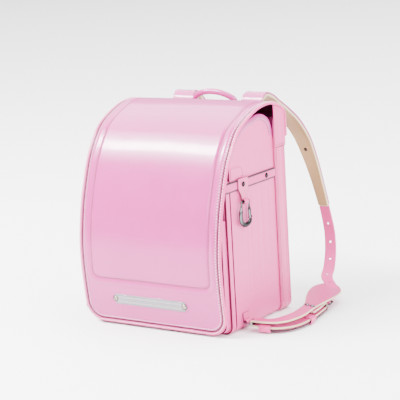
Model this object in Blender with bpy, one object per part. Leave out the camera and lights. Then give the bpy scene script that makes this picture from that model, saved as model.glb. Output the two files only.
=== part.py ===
"""School ransel: a hard-sided child's backpack with a long front flap.

Metres, +Z up. The origin is the middle of the base, on the floor. The flap faces -Y, the wearer's
back is at +Y, and +X is the wearer's right side.
"""
import bpy
import bmesh
from math import cos, sin, pi, radians, sqrt
from mathutils import Vector

# Clearance between pieces that touch
GAP = 0.0003

# Leather and board thicknesses
GUSSET_WALL = 0.0025
BORDER_WALL = 0.0030
POCKET_WALL = 0.0020
SLIP_WALL = 0.0017
PANEL_WALL = 0.0024
BACK_BOARD = 0.0040
FLAP_LEATHER = 0.0026
STRAP_LEATHER = 0.0024
LOWER_LEATHER = 0.0030
TAB_LEATHER = 0.0016
KEEPER_WALL = 0.0014

# Main compartment
BODY_WIDTH = 0.238
BORDER_WIDTH = 0.244
MAIN_FRONT_Y = -0.074
BORDER_FRONT_Y = 0.0475
BACK_Y = 0.0767
BORDER_TOP = 0.2895
BOTTOM_RADIUS = 0.012
ARCH_TOP = 0.2975
FRONT_PANEL_TOP = 0.232

# Pockets in front of the main compartment
SLIM_DEPTH = 0.0113
SLIM_TOP = 0.222
POCKET_WIDTH = 0.234
POCKET_DEPTH = 0.0126
POCKET_TOP = 0.168
POCKET_BOTTOM = 0.004
SLIP_WIDTH = 0.226
SLIP_BOTTOM = 0.014
SLIP_TOP = 0.086
SLIP_DEPTH_LOW = 0.0042
SLIP_DEPTH_TOP = 0.0080
SLIP_RADIUS = 0.022

# Padded back
PAD_WIDTH = 0.186
PAD_BOTTOM = 0.030
PAD_TOP = 0.255
PAD_THICKNESS = 0.010
PAD_RADIUS = 0.020

# Flap
FLAP_WIDTH = 0.250
FLAP_FRONT_Y = -0.115
FLAP_TOP = 0.3170
FLAP_RADIUS = 0.030
BINDING_WIDTH = 0.0035
BINDING_RISE = 0.0004
RAISED_WIDTH = 0.206
RAISED_BOTTOM = 0.0735
RAISED_BACK = 0.298
RAISED_HEIGHT = 0.0012
RAISED_RADIUS = 0.010

# Silver plate on the flap
PLATE_LENGTH = 0.130
PLATE_HEIGHT = 0.015
PLATE_THICKNESS = 0.0010
PLATE_X = -0.005
PLATE_Z = 0.042
PLATE_RIVET_SPACING = 0.122

# Rivet heads
RIVET_RADIUS = 0.0032
RIVET_HEIGHT = 0.0013

# Hidden clasp behind the flap's lower end
CLASP_WIDTH = 0.030
CLASP_BOTTOM = 0.0045
CLASP_HEIGHT = 0.0080

# Side belts, hook tabs and snap hooks
SIDE_BELT_WIDTH = 0.015
SIDE_BELT_Z = 0.2125
SIDE_BELT_LEATHER = 0.0020
SIDE_BELT_FRONT_RUN = 0.030
BELT_RIVET_Y = 0.022
TAB_Y = -0.044
TAB_TOP = 0.2215
TAB_WIDTH = 0.026
TAB_LOOP_WIDTH = 0.011
TAB_LOOP_RADIUS = 0.0026
HOOK_WIRE_RADIUS = 0.0019
HOOK_BAR_Z = 0.188
HOOK_LENGTH = 0.044
HOOK_WIDTH = 0.027

# Handle and the plate that carries it
ANCHOR_WIDTH = 0.172
ANCHOR_BOTTOM = 0.266
ANCHOR_TOP = 0.290
ANCHOR_THICKNESS = 0.0025
HANDLE_SPAN = 0.074
HANDLE_RADIUS = 0.0033
HANDLE_TOP = 0.3225
HANDLE_FORWARD = 0.0145

# Shoulder straps
STRAP_ROOT_X = 0.062
STRAP_SPLAY = 0.080
STRAP_REACH = 0.123
STRAP_TOP = 0.3205
STRAP_BELT_LENGTH = 0.300
BELT_WIDTH = 0.038
STRAP_WIDTH = 0.018
BELT_FACE = 0.0022
BELT_LINING = 0.0038
HOLE_RADIUS = 0.0019
HOLE_PITCH = 0.0285
HOLE_COUNT = 5
HOLE_FIRST = 0.030
HOLE_CUT = 0.006

# Lower strap, which lies on the floor beside the bag
TAIL_HEIGHT = 0.0053
STRAP_TILT = radians(10.0)
RING_Y = -0.050
RING_LENGTH = 0.0125
RING_WIRE = 0.0014
RING_TAB_TOP = 0.026
LOWER_REACH = 0.239
LOWER_BOW = 0.0515
LOWER_BACK = 0.199
KEEPER_LENGTH = 0.015
KEEPER_NEAR = 0.020
KEEPER_FAR = 0.096
KEEPER_PLAY = 0.0005
LAYER_PLAY = 0.0008
BUCKLE_NEAR = 0.154
BUCKLE_LENGTH = 0.024
BUCKLE_WIRE = 0.0015
PRONG_RADIUS = 0.0011
FRAME_PLAY = 0.0008
FRAME_CORNER = 0.0018
LEAF_WIDTH = 0.045
LEAF_RIVET_PLACE = 0.114
LEAF_RIVET_SPACING = 0.0085
RETURN_LENGTH = 0.048
SLOT_PLACE = 0.222
SLOT_LEAD = 0.017
TAIL_STEP = 0.010
LAYER_STEP = 0.012
RETURN_STEP = 0.014
LEAF_STEPS = 22
LEAF_LIFT = 0.4

# Worked out from the sizes above
HALF_BODY = BODY_WIDTH / 2
HALF_BORDER = BORDER_WIDTH / 2
HALF_FLAP = FLAP_WIDTH / 2
FLAP_BACK_Y = BACK_Y + GAP + FLAP_LEATHER + BINDING_RISE
SLIM_FRONT_Y = MAIN_FRONT_Y - GAP - SLIM_DEPTH
POCKET_FRONT_Y = SLIM_FRONT_Y - GAP - POCKET_DEPTH
ANCHOR_FRONT_Y = FLAP_BACK_Y + GAP
ANCHOR_BACK_Y = ANCHOR_FRONT_Y + ANCHOR_THICKNESS
STRAP_ROOT_Y = ANCHOR_BACK_Y + GAP + BELT_FACE + GAP / 2
BELT_X = HALF_BODY + GAP
UNDER_HEIGHT = TAIL_HEIGHT + STRAP_LEATHER / 2 + LAYER_PLAY + LOWER_LEATHER / 2
RING_FOLD = RING_WIRE + KEEPER_PLAY + LOWER_LEATHER / 2
BUCKLE_FOLD = BUCKLE_WIRE + KEEPER_PLAY + LOWER_LEATHER / 2
RING_HEIGHT = UNDER_HEIGHT + RING_FOLD
BUCKLE_HEIGHT = UNDER_HEIGHT + BUCKLE_FOLD
RETURN_HEIGHT = BUCKLE_HEIGHT + BUCKLE_FOLD
LEAF_HEIGHT = RETURN_HEIGHT + LOWER_LEATHER + LAYER_PLAY
STRAP_OVER_HEIGHT = BUCKLE_HEIGHT + BUCKLE_WIRE + KEEPER_PLAY + STRAP_LEATHER / 2
BUCKLE_FAR = BUCKLE_NEAR + BUCKLE_LENGTH
RING_WIDTH = STRAP_WIDTH + 2 * FRAME_PLAY + 4 * RING_WIRE
BUCKLE_WIDTH = STRAP_WIDTH + 3 * FRAME_PLAY + 4 * BUCKLE_WIRE

# Flap profile from its lower edge, up the front, over the top and down the back.
# Columns: share of the run from the flap's front to its back, share of the flap's top height
FLAP_PROFILE = (
    (0.051, 0.010),
    (0.021, 0.145),
    (0.003, 0.284),
    (0.005, 0.394),
    (0.041, 0.536),
    (0.087, 0.640),
    (0.170, 0.776),
    (0.288, 0.886),
    (0.375, 0.931),
    (0.488, 0.965),
    (0.617, 0.992),
    (0.769, 1.000),
    (0.874, 0.987),
    (0.960, 0.964),
    (0.996, 0.936),
    (1.000, 0.896),
    (1.000, 0.826),
)

# Arched top of the side walls. Columns: share of the main compartment's run, share of ARCH_TOP
ARCH = (
    (0.00, 0.800),
    (0.12, 0.870),
    (0.28, 0.926),
    (0.51, 0.974),
    (0.65, 0.999),
    (0.79, 0.994),
    (0.91, 0.966),
    (0.97, 0.925),
    (1.00, 0.870),
)

# Handle from its middle to a foot.
# Columns: share of half the span, share of the lean forward, share of the rise above the foot
HANDLE_ARCH = (
    (0.00, 1.00, 1.000),
    (0.30, 0.97, 0.985),
    (0.60, 0.84, 0.935),
    (0.90, 0.52, 0.820),
    (1.00, 0.18, 0.640),
    (0.98, 0.00, 0.400),
    (0.97, 0.00, 0.000),
)

# Shoulder strap from its root over the top and down to the floor.
# Columns: share of STRAP_SPLAY, share of STRAP_REACH, share of STRAP_TOP
STRAP_ROUTE = (
    (0.000, 0.000, 0.832),
    (0.000, 0.000, 0.915),
    (0.005, 0.024, 0.972),
    (0.025, 0.106, 0.998),
    (0.050, 0.230, 0.984),
    (0.080, 0.350, 0.952),
    (0.130, 0.520, 0.905),
    (0.200, 0.675, 0.850),
    (0.275, 0.800, 0.780),
    (0.340, 0.875, 0.712),
    (0.450, 0.940, 0.590),
    (0.580, 0.985, 0.432),
    (0.690, 0.990, 0.296),
    (0.745, 0.950, 0.227),
    (0.800, 0.875, 0.172),
    (0.865, 0.750, 0.118),
    (0.930, 0.610, 0.082),
)

# Plan of the lower strap from the ring out past the bag's side and back.
# Columns: share of LOWER_BOW from the ring, share of LOWER_BACK from the ring
LOWER_PLAN = (
    (0.00, 0.000),
    (0.24, 0.000),
    (0.48, 0.002),
    (0.72, 0.030),
    (0.90, 0.100),
    (1.00, 0.205),
    (0.97, 0.335),
    (0.90, 0.460),
    (0.81, 0.585),
    (0.72, 0.705),
    (0.62, 0.815),
    (0.49, 0.915),
    (0.38, 1.000),
)

# Holed strap through the buckle, from above its far bar to below its near bar.
# Columns: share of BUCKLE_LENGTH from the near bar, share of the height between its two levels
BUCKLE_PASS = (
    (1.25, 1.02),
    (0.92, 0.97),
    (0.58, 0.57),
    (0.21, 0.05),
    (-0.17, 0.00),
)

# Wide belt that narrows to the holed strap. Columns: share of STRAP_BELT_LENGTH, share of BELT_WIDTH
BELT_TAPER = (
    (0.00, 1.00),
    (0.62, 1.00),
    (0.75, 0.93),
    (0.87, 0.75),
    (0.95, 0.58),
    (1.00, 0.50),
)

# Leaf of the lower belt. Columns: share of LOWER_REACH, width as a share of LEAF_WIDTH,
# inward shift as a share of LEAF_WIDTH
LEAF = (
    (0.46, 0.400, 0.06),
    (0.54, 0.520, 0.09),
    (0.63, 0.730, 0.12),
    (0.73, 0.920, 0.14),
    (0.82, 1.000, 0.13),
    (0.89, 0.930, 0.10),
    (0.95, 0.700, 0.06),
    (0.98, 0.460, 0.03),
    (1.00, 0.160, 0.00),
)

# Snap hook's bent wire, from the gate's pivot over the bar and round to the tip.
# Columns: share of HOOK_WIDTH towards the back, share of HOOK_LENGTH downwards,
# wire radius as a share of HOOK_WIRE_RADIUS
HOOK_WIRE = (
    (0.345, 0.150, 0.75),
    (0.340, 0.070, 0.85),
    (0.300, 0.010, 0.74),
    (-0.300, 0.010, 0.74),
    (-0.370, 0.110, 0.90),
    (-0.440, 0.330, 1.00),
    (-0.480, 0.600, 1.00),
    (-0.420, 0.820, 1.00),
    (-0.200, 0.965, 1.00),
    (0.100, 0.985, 1.00),
    (0.340, 0.920, 1.00),
    (0.450, 0.830, 0.80),
)

# Gate of the snap hook. Columns as in HOOK_WIRE
HOOK_GATE = (
    (0.345, 0.168, 0.35),
    (0.352, 0.200, 0.80),
    (0.370, 0.400, 0.95),
    (0.395, 0.640, 0.85),
    (0.405, 0.680, 1.10),
    (0.410, 0.720, 1.30),
    (0.415, 0.755, 1.00),
    (0.418, 0.770, 0.45),
)

# Colours as seen, before they are made linear
PINK = (0.925, 0.700, 0.815)
CREAM = (0.900, 0.850, 0.760)
SILVER = (0.800, 0.800, 0.810)


def linear(colour):
    """Turn a colour as seen on a screen into linear light."""
    return tuple(c ** 2.2 for c in colour)


def material(name, colour, roughness, metallic=0.0):
    found = bpy.data.materials.get(name)
    if found:
        return found
    made = bpy.data.materials.new(name)
    made.use_nodes = True
    shader = made.node_tree.nodes["Principled BSDF"]
    shader.inputs["Base Color"].default_value = (*linear(colour), 1.0)
    shader.inputs["Roughness"].default_value = roughness
    shader.inputs["Metallic"].default_value = metallic
    return made


def leather(name):
    return material(name + "_leather", PINK, 0.35)


def metal(name):
    return material(name + "_metal", SILVER, 0.22, 1.0)


def add_object(name, mesh, surface, origin=(0.0, 0.0, 0.0), parent=None):
    """Put a mesh given in world coordinates on an object whose origin is at origin."""
    place = Vector(origin)
    for vertex in mesh.vertices:
        vertex.co -= place
    made = bpy.data.objects.new(name, mesh)
    made.data.materials.append(surface)
    bpy.context.scene.collection.objects.link(made)
    if parent:
        made.parent = parent
        made.location = place - parent.location
    else:
        made.location = place
    return made


def sweep_mesh(name, rings, loop=False, smooth=False, layered=False):
    """Join rings of points with quads, and cap the ends unless the rings close on themselves.

    Layered strips are split into triangles that match where one strip's face lies on another's.
    """
    shape = bmesh.new()
    rows = [[shape.verts.new(point) for point in ring] for ring in rings]
    count = len(rows[0])
    pairs = list(zip(rows, rows[1:]))
    if loop:
        pairs.append((rows[-1], rows[0]))
    for row, following in pairs:
        for i in range(count):
            j = (i + 1) % count
            if not layered:
                shape.faces.new((row[i], row[j], following[j], following[i]))
            elif i < count / 2:
                shape.faces.new((row[i], row[j], following[j]))
                shape.faces.new((row[i], following[j], following[i]))
            else:
                shape.faces.new((row[i], row[j], following[i]))
                shape.faces.new((row[j], following[j], following[i]))
    if not loop:
        shape.faces.new(rows[0])
        shape.faces.new(reversed(rows[-1]))
    bmesh.ops.recalc_face_normals(shape, faces=shape.faces)
    mesh = bpy.data.meshes.new(name)
    shape.to_mesh(mesh)
    shape.free()
    if smooth:
        mesh.shade_smooth()
        mesh.set_sharp_from_angle(angle=radians(50.0))
    return mesh


def smooth_path(points, count):
    """A smooth curve through the points, read at count places spaced evenly along its length."""
    points = [Vector(p) for p in points]
    ends = [2 * points[0] - points[1]] + points + [2 * points[-1] - points[-2]]
    fine = []
    steps = 24
    for i in range(1, len(ends) - 2):
        before, start, stop, after = ends[i - 1:i + 3]
        for k in range(steps):
            t = k / steps
            # Catmull-Rom curve through start and stop
            fine.append(0.5 * (2 * start + (stop - before) * t
                               + (2 * before - 5 * start + 4 * stop - after) * t ** 2
                               + (3 * start - before - 3 * stop + after) * t ** 3))
    fine.append(points[-1])
    return resample(fine, count)


def path_lengths(points):
    lengths = [0.0]
    for a, b in zip(points, points[1:]):
        lengths.append(lengths[-1] + (b - a).length)
    return lengths


def point_at(points, lengths, distance):
    """The point at a distance along a path, in line with its last stretch beyond an end."""
    i = 1
    while i < len(points) - 1 and lengths[i] < distance:
        i += 1
    share = (distance - lengths[i - 1]) / (lengths[i] - lengths[i - 1])
    return points[i - 1] + (points[i] - points[i - 1]) * share


def resample(points, count):
    lengths = path_lengths(points)
    return [point_at(points, lengths, lengths[-1] * k / (count - 1)) for k in range(count)]


def tangent(points, i, loop=False):
    if loop:
        return (points[(i + 1) % len(points)] - points[i - 1]).normalized()
    return (points[min(i + 1, len(points) - 1)] - points[max(i - 1, 0)]).normalized()


def table_value(table, column, place):
    """Straight-line reading of a table whose first column rises."""
    if place <= table[0][0]:
        return table[0][column]
    for low, high in zip(table, table[1:]):
        if place <= high[0]:
            share = (place - low[0]) / (high[0] - low[0])
            return low[column] + (high[column] - low[column]) * share
    return table[-1][column]


def ribbon_rings(points, across, widths, low, high):
    """Flat strip along points: low and high are its two faces' offsets from the path."""
    rings = []
    for i, point in enumerate(points):
        along = tangent(points, i)
        side = across[i] - along * across[i].dot(along)
        side.normalize()
        face = along.cross(side)
        half = side * widths[i] / 2
        rings.append([point + half + face * high, point - half + face * high,
                      point - half + face * low, point + half + face * low])
    return rings


def tube_rings(points, radii, sides, loop=False, start_side=Vector((1.0, 0.0, 0.0))):
    """Round section carried along points without twisting."""
    rings = []
    side = start_side
    for i, point in enumerate(points):
        along = tangent(points, i, loop)
        side = side - along * side.dot(along)
        side.normalize()
        other = along.cross(side)
        rings.append([point + (side * cos(2 * pi * k / sides) + other * sin(2 * pi * k / sides)) * radii[i]
                      for k in range(sides)])
    return rings


def rounded_outline(half_width, bottom, top, radius, steps=4):
    """Points in XZ of an upright panel with rounded lower corners, from the top left round."""
    points = [(-half_width, top)]
    for k in range(steps + 1):
        turn = pi + pi / 2 * k / steps
        points.append((-half_width + radius + radius * cos(turn), bottom + radius + radius * sin(turn)))
    for k in range(steps + 1):
        turn = 1.5 * pi + pi / 2 * k / steps
        points.append((half_width - radius + radius * cos(turn), bottom + radius + radius * sin(turn)))
    points.append((half_width, top))
    return points


def prism_mesh(name, outline, back_y, front_y):
    """Upright prism. front_y is a number or a function of height."""
    front = front_y if callable(front_y) else (lambda z: front_y)
    rings = [[Vector((x, back_y, z)) for x, z in outline],
             [Vector((x, front(z), z)) for x, z in outline]]
    return sweep_mesh(name, rings)


def cut(target, cutter_mesh):
    """Cut target with a mesh in world coordinates."""
    cutter = add_object(target.name + "_cutter", cutter_mesh, target.data.materials[0])
    cutter.hide_render = True
    cutter.display_type = "WIRE"
    step = target.modifiers.new("cut", "BOOLEAN")
    step.operation = "DIFFERENCE"
    step.solver = "EXACT"
    step.object = cutter


def disc(name, centre, direction, radius, height, surface, sides=12, parent=None):
    """Rivet head: a low dome whose flat side is at centre."""
    axis = Vector(direction).normalized()
    side = axis.orthogonal().normalized()
    points = [Vector(centre) + axis * height * share for share in (0.0, 0.45, 0.85, 1.0)]
    radii = [radius, radius, radius * 0.75, radius * 0.35]
    mesh = sweep_mesh(name, tube_rings(points, radii, sides, start_side=side), smooth=True)
    return add_object(name, mesh, surface, parent=parent)


def channel_rings(stations, half_width, wall, radius, floor, top_of, steps=4):
    """U-shaped sections across the bag, one at each place along Y."""
    rings = []
    for y in stations:
        top = top_of(y)
        outside = rounded_outline(half_width, floor, top, radius, steps)
        inside = rounded_outline(half_width - wall, floor + wall, top, radius - wall, steps)
        rings.append([Vector((x, y, z)) for x, z in outside + inside[::-1]])
    return rings


# Main compartment


def arch_height(y):
    place = (y - MAIN_FRONT_Y) / (BORDER_FRONT_Y - GAP - MAIN_FRONT_Y)
    points = smooth_path([(share, height, 0.0) for share, height in ARCH], 60)
    return table_value([tuple(p) for p in points], 1, place) * ARCH_TOP


def make_main_compartment():
    run = BORDER_FRONT_Y - GAP - MAIN_FRONT_Y
    stations = [MAIN_FRONT_Y + run * share
                for share in (0, 0.06, 0.13, 0.22, 0.33, 0.45, 0.56, 0.65, 0.73, 0.81, 0.88, 0.94, 0.98, 1)]
    rings = channel_rings(stations, HALF_BODY, GUSSET_WALL, BOTTOM_RADIUS, 0.0, arch_height)
    add_object("main_gusset", sweep_mesh("main_gusset", rings), leather("gusset"))

    inner = HALF_BODY - GUSSET_WALL - GAP
    outline = rounded_outline(inner, GUSSET_WALL + GAP, FRONT_PANEL_TOP, BOTTOM_RADIUS - GUSSET_WALL)
    mesh = prism_mesh("front_panel", outline, MAIN_FRONT_Y + PANEL_WALL, MAIN_FRONT_Y)
    add_object("front_panel", mesh, leather("panel"))

    rings = channel_rings((BORDER_FRONT_Y, BACK_Y), HALF_BORDER, BORDER_WALL, BOTTOM_RADIUS, 0.0,
                          lambda y: BORDER_TOP)
    add_object("back_border", sweep_mesh("back_border", rings), leather("border"))

    inner = HALF_BORDER - BORDER_WALL - GAP
    outline = rounded_outline(inner, BORDER_WALL + GAP, BORDER_TOP, BOTTOM_RADIUS - BORDER_WALL)
    mesh = prism_mesh("back_panel", outline, BACK_Y, BACK_Y - BACK_BOARD)
    add_object("back_panel", mesh, leather("panel"))


def make_back_pad():
    """Cushion with round corners and a domed face."""
    rings = []
    for depth, inset in ((0.0, 0.0), (0.55, 0.0), (0.85, 0.35), (1.0, 0.9)):
        shrink = PAD_THICKNESS * inset
        half = PAD_WIDTH / 2 - shrink
        low = rounded_outline(half, PAD_BOTTOM + shrink, PAD_TOP - shrink, PAD_RADIUS)
        y = BACK_Y + GAP + PAD_THICKNESS * depth
        rings.append([Vector((x, y, z)) for x, z in low])
    add_object("back_pad", sweep_mesh("back_pad", rings), material("cushion", CREAM, 0.8))


# Pockets


def make_pocket(name, half_width, back_y, front_y, bottom, top, wall, radius):
    """Bent wall and front in one piece, open at the top and against what is behind it."""
    outer = rounded_outline(half_width, bottom, top, radius)
    pocket = add_object(name, prism_mesh(name, outer, back_y, front_y), leather("pocket"))
    inner = rounded_outline(half_width - wall, bottom + wall, top + wall, radius - wall)
    front = front_y if callable(front_y) else (lambda z: front_y)
    cut(pocket, prism_mesh(name + "_cutter", inner, back_y + wall, lambda z: front(z) + wall))
    return pocket


def slip_front(z):
    share = (z - SLIP_BOTTOM) / (SLIP_TOP - SLIP_BOTTOM)
    depth = SLIP_DEPTH_LOW + (SLIP_DEPTH_TOP - SLIP_DEPTH_LOW) * share
    return POCKET_FRONT_Y - GAP - depth


def make_pockets():
    make_pocket("slim_pocket", HALF_BODY, MAIN_FRONT_Y - GAP, SLIM_FRONT_Y, 0.0, SLIM_TOP,
                POCKET_WALL, BOTTOM_RADIUS)
    make_pocket("front_pocket", POCKET_WIDTH / 2, SLIM_FRONT_Y - GAP, POCKET_FRONT_Y, POCKET_BOTTOM,
                POCKET_TOP, POCKET_WALL, BOTTOM_RADIUS)
    make_pocket("slip_pocket", SLIP_WIDTH / 2, POCKET_FRONT_Y - GAP, slip_front, SLIP_BOTTOM, SLIP_TOP,
                SLIP_WALL, SLIP_RADIUS)


# Flap


class Profile:
    """The flap's outer line in YZ, measured from its lower edge."""

    def __init__(self):
        run = FLAP_BACK_Y - FLAP_FRONT_Y
        points = [(0.0, FLAP_FRONT_Y + run * depth, FLAP_TOP * height) for depth, height in FLAP_PROFILE]
        self.points = smooth_path(points, 56)
        self.lengths = path_lengths(self.points)
        self.length = self.lengths[-1]

    def at(self, distance):
        return point_at(self.points, self.lengths, distance)

    def along(self, distance):
        step = 0.002
        return (self.at(distance + step) - self.at(distance - step)).normalized()

    def outward(self, distance):
        return self.along(distance).cross(Vector((1.0, 0.0, 0.0))) * -1

    def point(self, x, distance, rise):
        return self.at(distance) + Vector((x, 0.0, 0.0)) + self.outward(distance) * rise

    def at_height(self, height, back=False):
        """Distance at which the line reaches a height, on its way up or on its way down."""
        steps = 600
        places = [self.length * k / steps for k in range(steps + 1)]
        if back:
            places.reverse()
        for place in places:
            if self.at(place).z >= height:
                return place
        return places[-1]


def sheet_rings(profile, start, stop, half_width, radius, low, high):
    """Sheet on the profile whose lower corners are round, with a section at each of its corners."""
    corner = [start + radius * (1 - cos(pi / 2 * k / 5)) for k in range(6)]
    bends = [place for place in profile.lengths if start < place < stop - GAP]
    rings = []
    for place in sorted(corner + bends + [stop]):
        left = max(0.0, radius - (place - start))
        half = half_width - radius + sqrt(max(radius ** 2 - left ** 2, 0.0))
        rings.append([profile.point(half, place, high), profile.point(-half, place, high),
                      profile.point(-half, place, low), profile.point(half, place, low)])
    return rings


def make_flap(profile):
    inset = BINDING_WIDTH + GAP
    rings = sheet_rings(profile, inset, profile.length, HALF_FLAP - inset, FLAP_RADIUS - inset,
                        -FLAP_LEATHER, 0.0)
    add_object("flap", sweep_mesh("flap", rings, smooth=True), leather("flap"))

    start = profile.at_height(RAISED_BOTTOM)
    stop = profile.at_height(RAISED_BACK, back=True)
    rings = sheet_rings(profile, start, stop, RAISED_WIDTH / 2, RAISED_RADIUS,
                        GAP, GAP + RAISED_HEIGHT)
    add_object("flap_panel", sweep_mesh("flap_panel", rings, smooth=True), leather("flap"))


def make_binding(profile):
    """Rounded rim along the flap's two sides and lower edge."""
    middle = BINDING_WIDTH / 2
    radius = FLAP_RADIUS - middle
    half = HALF_FLAP - middle
    sides = 40
    path = []
    for k in range(sides):
        path.append((-half, profile.length + (FLAP_RADIUS - profile.length) * k / sides, -1.0, 0.0))
    for corner, start in ((-1, pi), (1, 1.5 * pi)):
        for k in range(7):
            turn = start + pi / 2 * k / 6
            x = corner * (half - radius) + radius * cos(turn)
            path.append((x, FLAP_RADIUS + radius * sin(turn), cos(turn), sin(turn)))
    for k in range(1, sides + 1):
        path.append((half, FLAP_RADIUS + (profile.length - FLAP_RADIUS) * k / sides, 1.0, 0.0))
    rings = []
    for x, place, out_x, out_s in path:
        centre = profile.point(x, place, -FLAP_LEATHER / 2)
        out = Vector((out_x, 0.0, 0.0)) + profile.along(place) * out_s
        rise = profile.outward(place)
        tall = FLAP_LEATHER / 2 + BINDING_RISE
        section = ((-1.0, -0.75), (-1.0, 0.75), (-0.4, 1.0), (0.5, 0.9), (1.0, 0.3), (1.0, -0.3),
                   (0.5, -0.9), (-0.4, -1.0))
        rings.append([centre + out * middle * a + rise * tall * b for a, b in section])
    add_object("flap_binding", sweep_mesh("flap_binding", rings, smooth=True), leather("binding"))


def make_plate(profile):
    middle = profile.at_height(PLATE_Z)
    rings = []
    for x in (PLATE_X - PLATE_LENGTH / 2, PLATE_X + PLATE_LENGTH / 2):
        rings.append([profile.point(x, middle + half, rise)
                      for half, rise in ((-PLATE_HEIGHT / 2, GAP),
                                         (-PLATE_HEIGHT / 2, GAP + PLATE_THICKNESS * 0.6),
                                         (-PLATE_HEIGHT * 0.4, GAP + PLATE_THICKNESS),
                                         (PLATE_HEIGHT * 0.4, GAP + PLATE_THICKNESS),
                                         (PLATE_HEIGHT / 2, GAP + PLATE_THICKNESS * 0.6),
                                         (PLATE_HEIGHT / 2, GAP))])
    add_object("name_plate", sweep_mesh("name_plate", rings), metal("plate"))
    for side, label in ((-1, "left"), (1, "right")):
        x = PLATE_X + side * PLATE_RIVET_SPACING / 2
        centre = profile.point(x, middle, PLATE_THICKNESS + 2 * GAP)
        disc("plate_rivet_" + label, centre, profile.outward(middle), RIVET_RADIUS, RIVET_HEIGHT,
             metal("rivet"))


def make_clasp(profile):
    """Plain block between the flap's lower end and the front pocket."""
    rings = []
    for x in (-CLASP_WIDTH / 2, CLASP_WIDTH / 2):
        ring = []
        for z in (CLASP_BOTTOM, CLASP_BOTTOM + CLASP_HEIGHT):
            place = profile.at_height(z)
            front = profile.point(x, place, -FLAP_LEATHER - BINDING_RISE - 2 * GAP)
            ring.append(Vector((x, front.y, z)))
        ring += [Vector((x, POCKET_FRONT_Y - GAP, CLASP_BOTTOM + CLASP_HEIGHT)),
                 Vector((x, POCKET_FRONT_Y - GAP, CLASP_BOTTOM))]
        rings.append(ring)
    add_object("bottom_clasp", sweep_mesh("bottom_clasp", rings), metal("clasp"))


# Handle and the plate behind the flap


def make_handle():
    rings = [[Vector((x, y, z)) for y, z in ((ANCHOR_FRONT_Y, ANCHOR_BOTTOM), (ANCHOR_BACK_Y, ANCHOR_BOTTOM),
                                             (ANCHOR_BACK_Y, ANCHOR_TOP), (ANCHOR_FRONT_Y, ANCHOR_TOP))]
             for x in (-ANCHOR_WIDTH / 2, ANCHOR_WIDTH / 2)]
    add_object("strap_anchor", sweep_mesh("strap_anchor", rings), metal("anchor"))

    foot_y = ANCHOR_BACK_Y + GAP + HANDLE_RADIUS
    foot_z = ANCHOR_BOTTOM
    top_z = HANDLE_TOP
    half = [Vector((HANDLE_SPAN / 2 * span, foot_y - HANDLE_FORWARD * lean,
                    foot_z + (top_z - foot_z) * rise)) for span, lean, rise in HANDLE_ARCH]
    points = [Vector((-p.x, p.y, p.z)) for p in half[:0:-1]] + half
    path = smooth_path(points, 33)
    rings = tube_rings(path, [HANDLE_RADIUS] * len(path), 8, start_side=Vector((0.0, 1.0, 0.0)))
    add_object("handle", sweep_mesh("handle", rings, smooth=True), leather("handle"))


# Side belts, tabs and hooks


def loop_tab_rings(side, wall_x, y, top_z, bar_z, top_width, loop_width, radius, leather_thickness):
    """Strip down the wall that ends in a loop round a bar along Y."""
    plate_x = wall_x + leather_thickness / 2
    centre_x = plate_x + radius
    points = [Vector((side * plate_x, y, z))
              for z in (top_z, (top_z + bar_z) / 2 + (top_z - bar_z) * 0.1, bar_z + radius * 2.2)]
    widths = [top_width, top_width, loop_width * 1.25]
    for k in range(10):
        turn = pi + radians(285.0) * k / 9
        points.append(Vector((side * (centre_x + radius * cos(turn)), y, bar_z + radius * sin(turn))))
        widths.append(loop_width)
    across = [Vector((0.0, 1.0, 0.0))] * len(points)
    half = leather_thickness / 2
    return ribbon_rings(points, across, widths, -half, half), side * centre_x


def make_side_belt(side, label):
    x = BELT_X + SIDE_BELT_LEATHER / 2
    front_y = SLIM_FRONT_Y - GAP - SIDE_BELT_LEATHER / 2
    bend = SIDE_BELT_LEATHER / 2 + GAP
    points = [Vector((x, BORDER_FRONT_Y - GAP, SIDE_BELT_Z)), Vector((x, 0.0, SIDE_BELT_Z))]
    for k in range(5):
        turn = pi / 2 * k / 4
        points.append(Vector((x - bend + bend * cos(turn), front_y + bend - bend * sin(turn), SIDE_BELT_Z)))
    points.append(Vector((x - SIDE_BELT_FRONT_RUN, front_y, SIDE_BELT_Z)))
    points = [Vector((side * p.x, p.y, p.z)) for p in points]
    up = [Vector((0.0, 0.0, 1.0))] * len(points)
    half = SIDE_BELT_LEATHER / 2
    rings = ribbon_rings(points, up, [SIDE_BELT_WIDTH] * len(points), -half, half)
    add_object("side_belt_" + label, sweep_mesh("side_belt_" + label, rings), leather("side_belt"))
    face = BELT_X + SIDE_BELT_LEATHER + GAP
    disc("belt_rivet_" + label, (side * face, BELT_RIVET_Y, SIDE_BELT_Z), (side, 0.0, 0.0),
         RIVET_RADIUS, RIVET_HEIGHT, metal("rivet"))


def hook_points(table, pivot):
    return [pivot + Vector((0.0, HOOK_WIDTH * across, -HOOK_LENGTH * down)) for across, down, _ in table]


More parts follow.
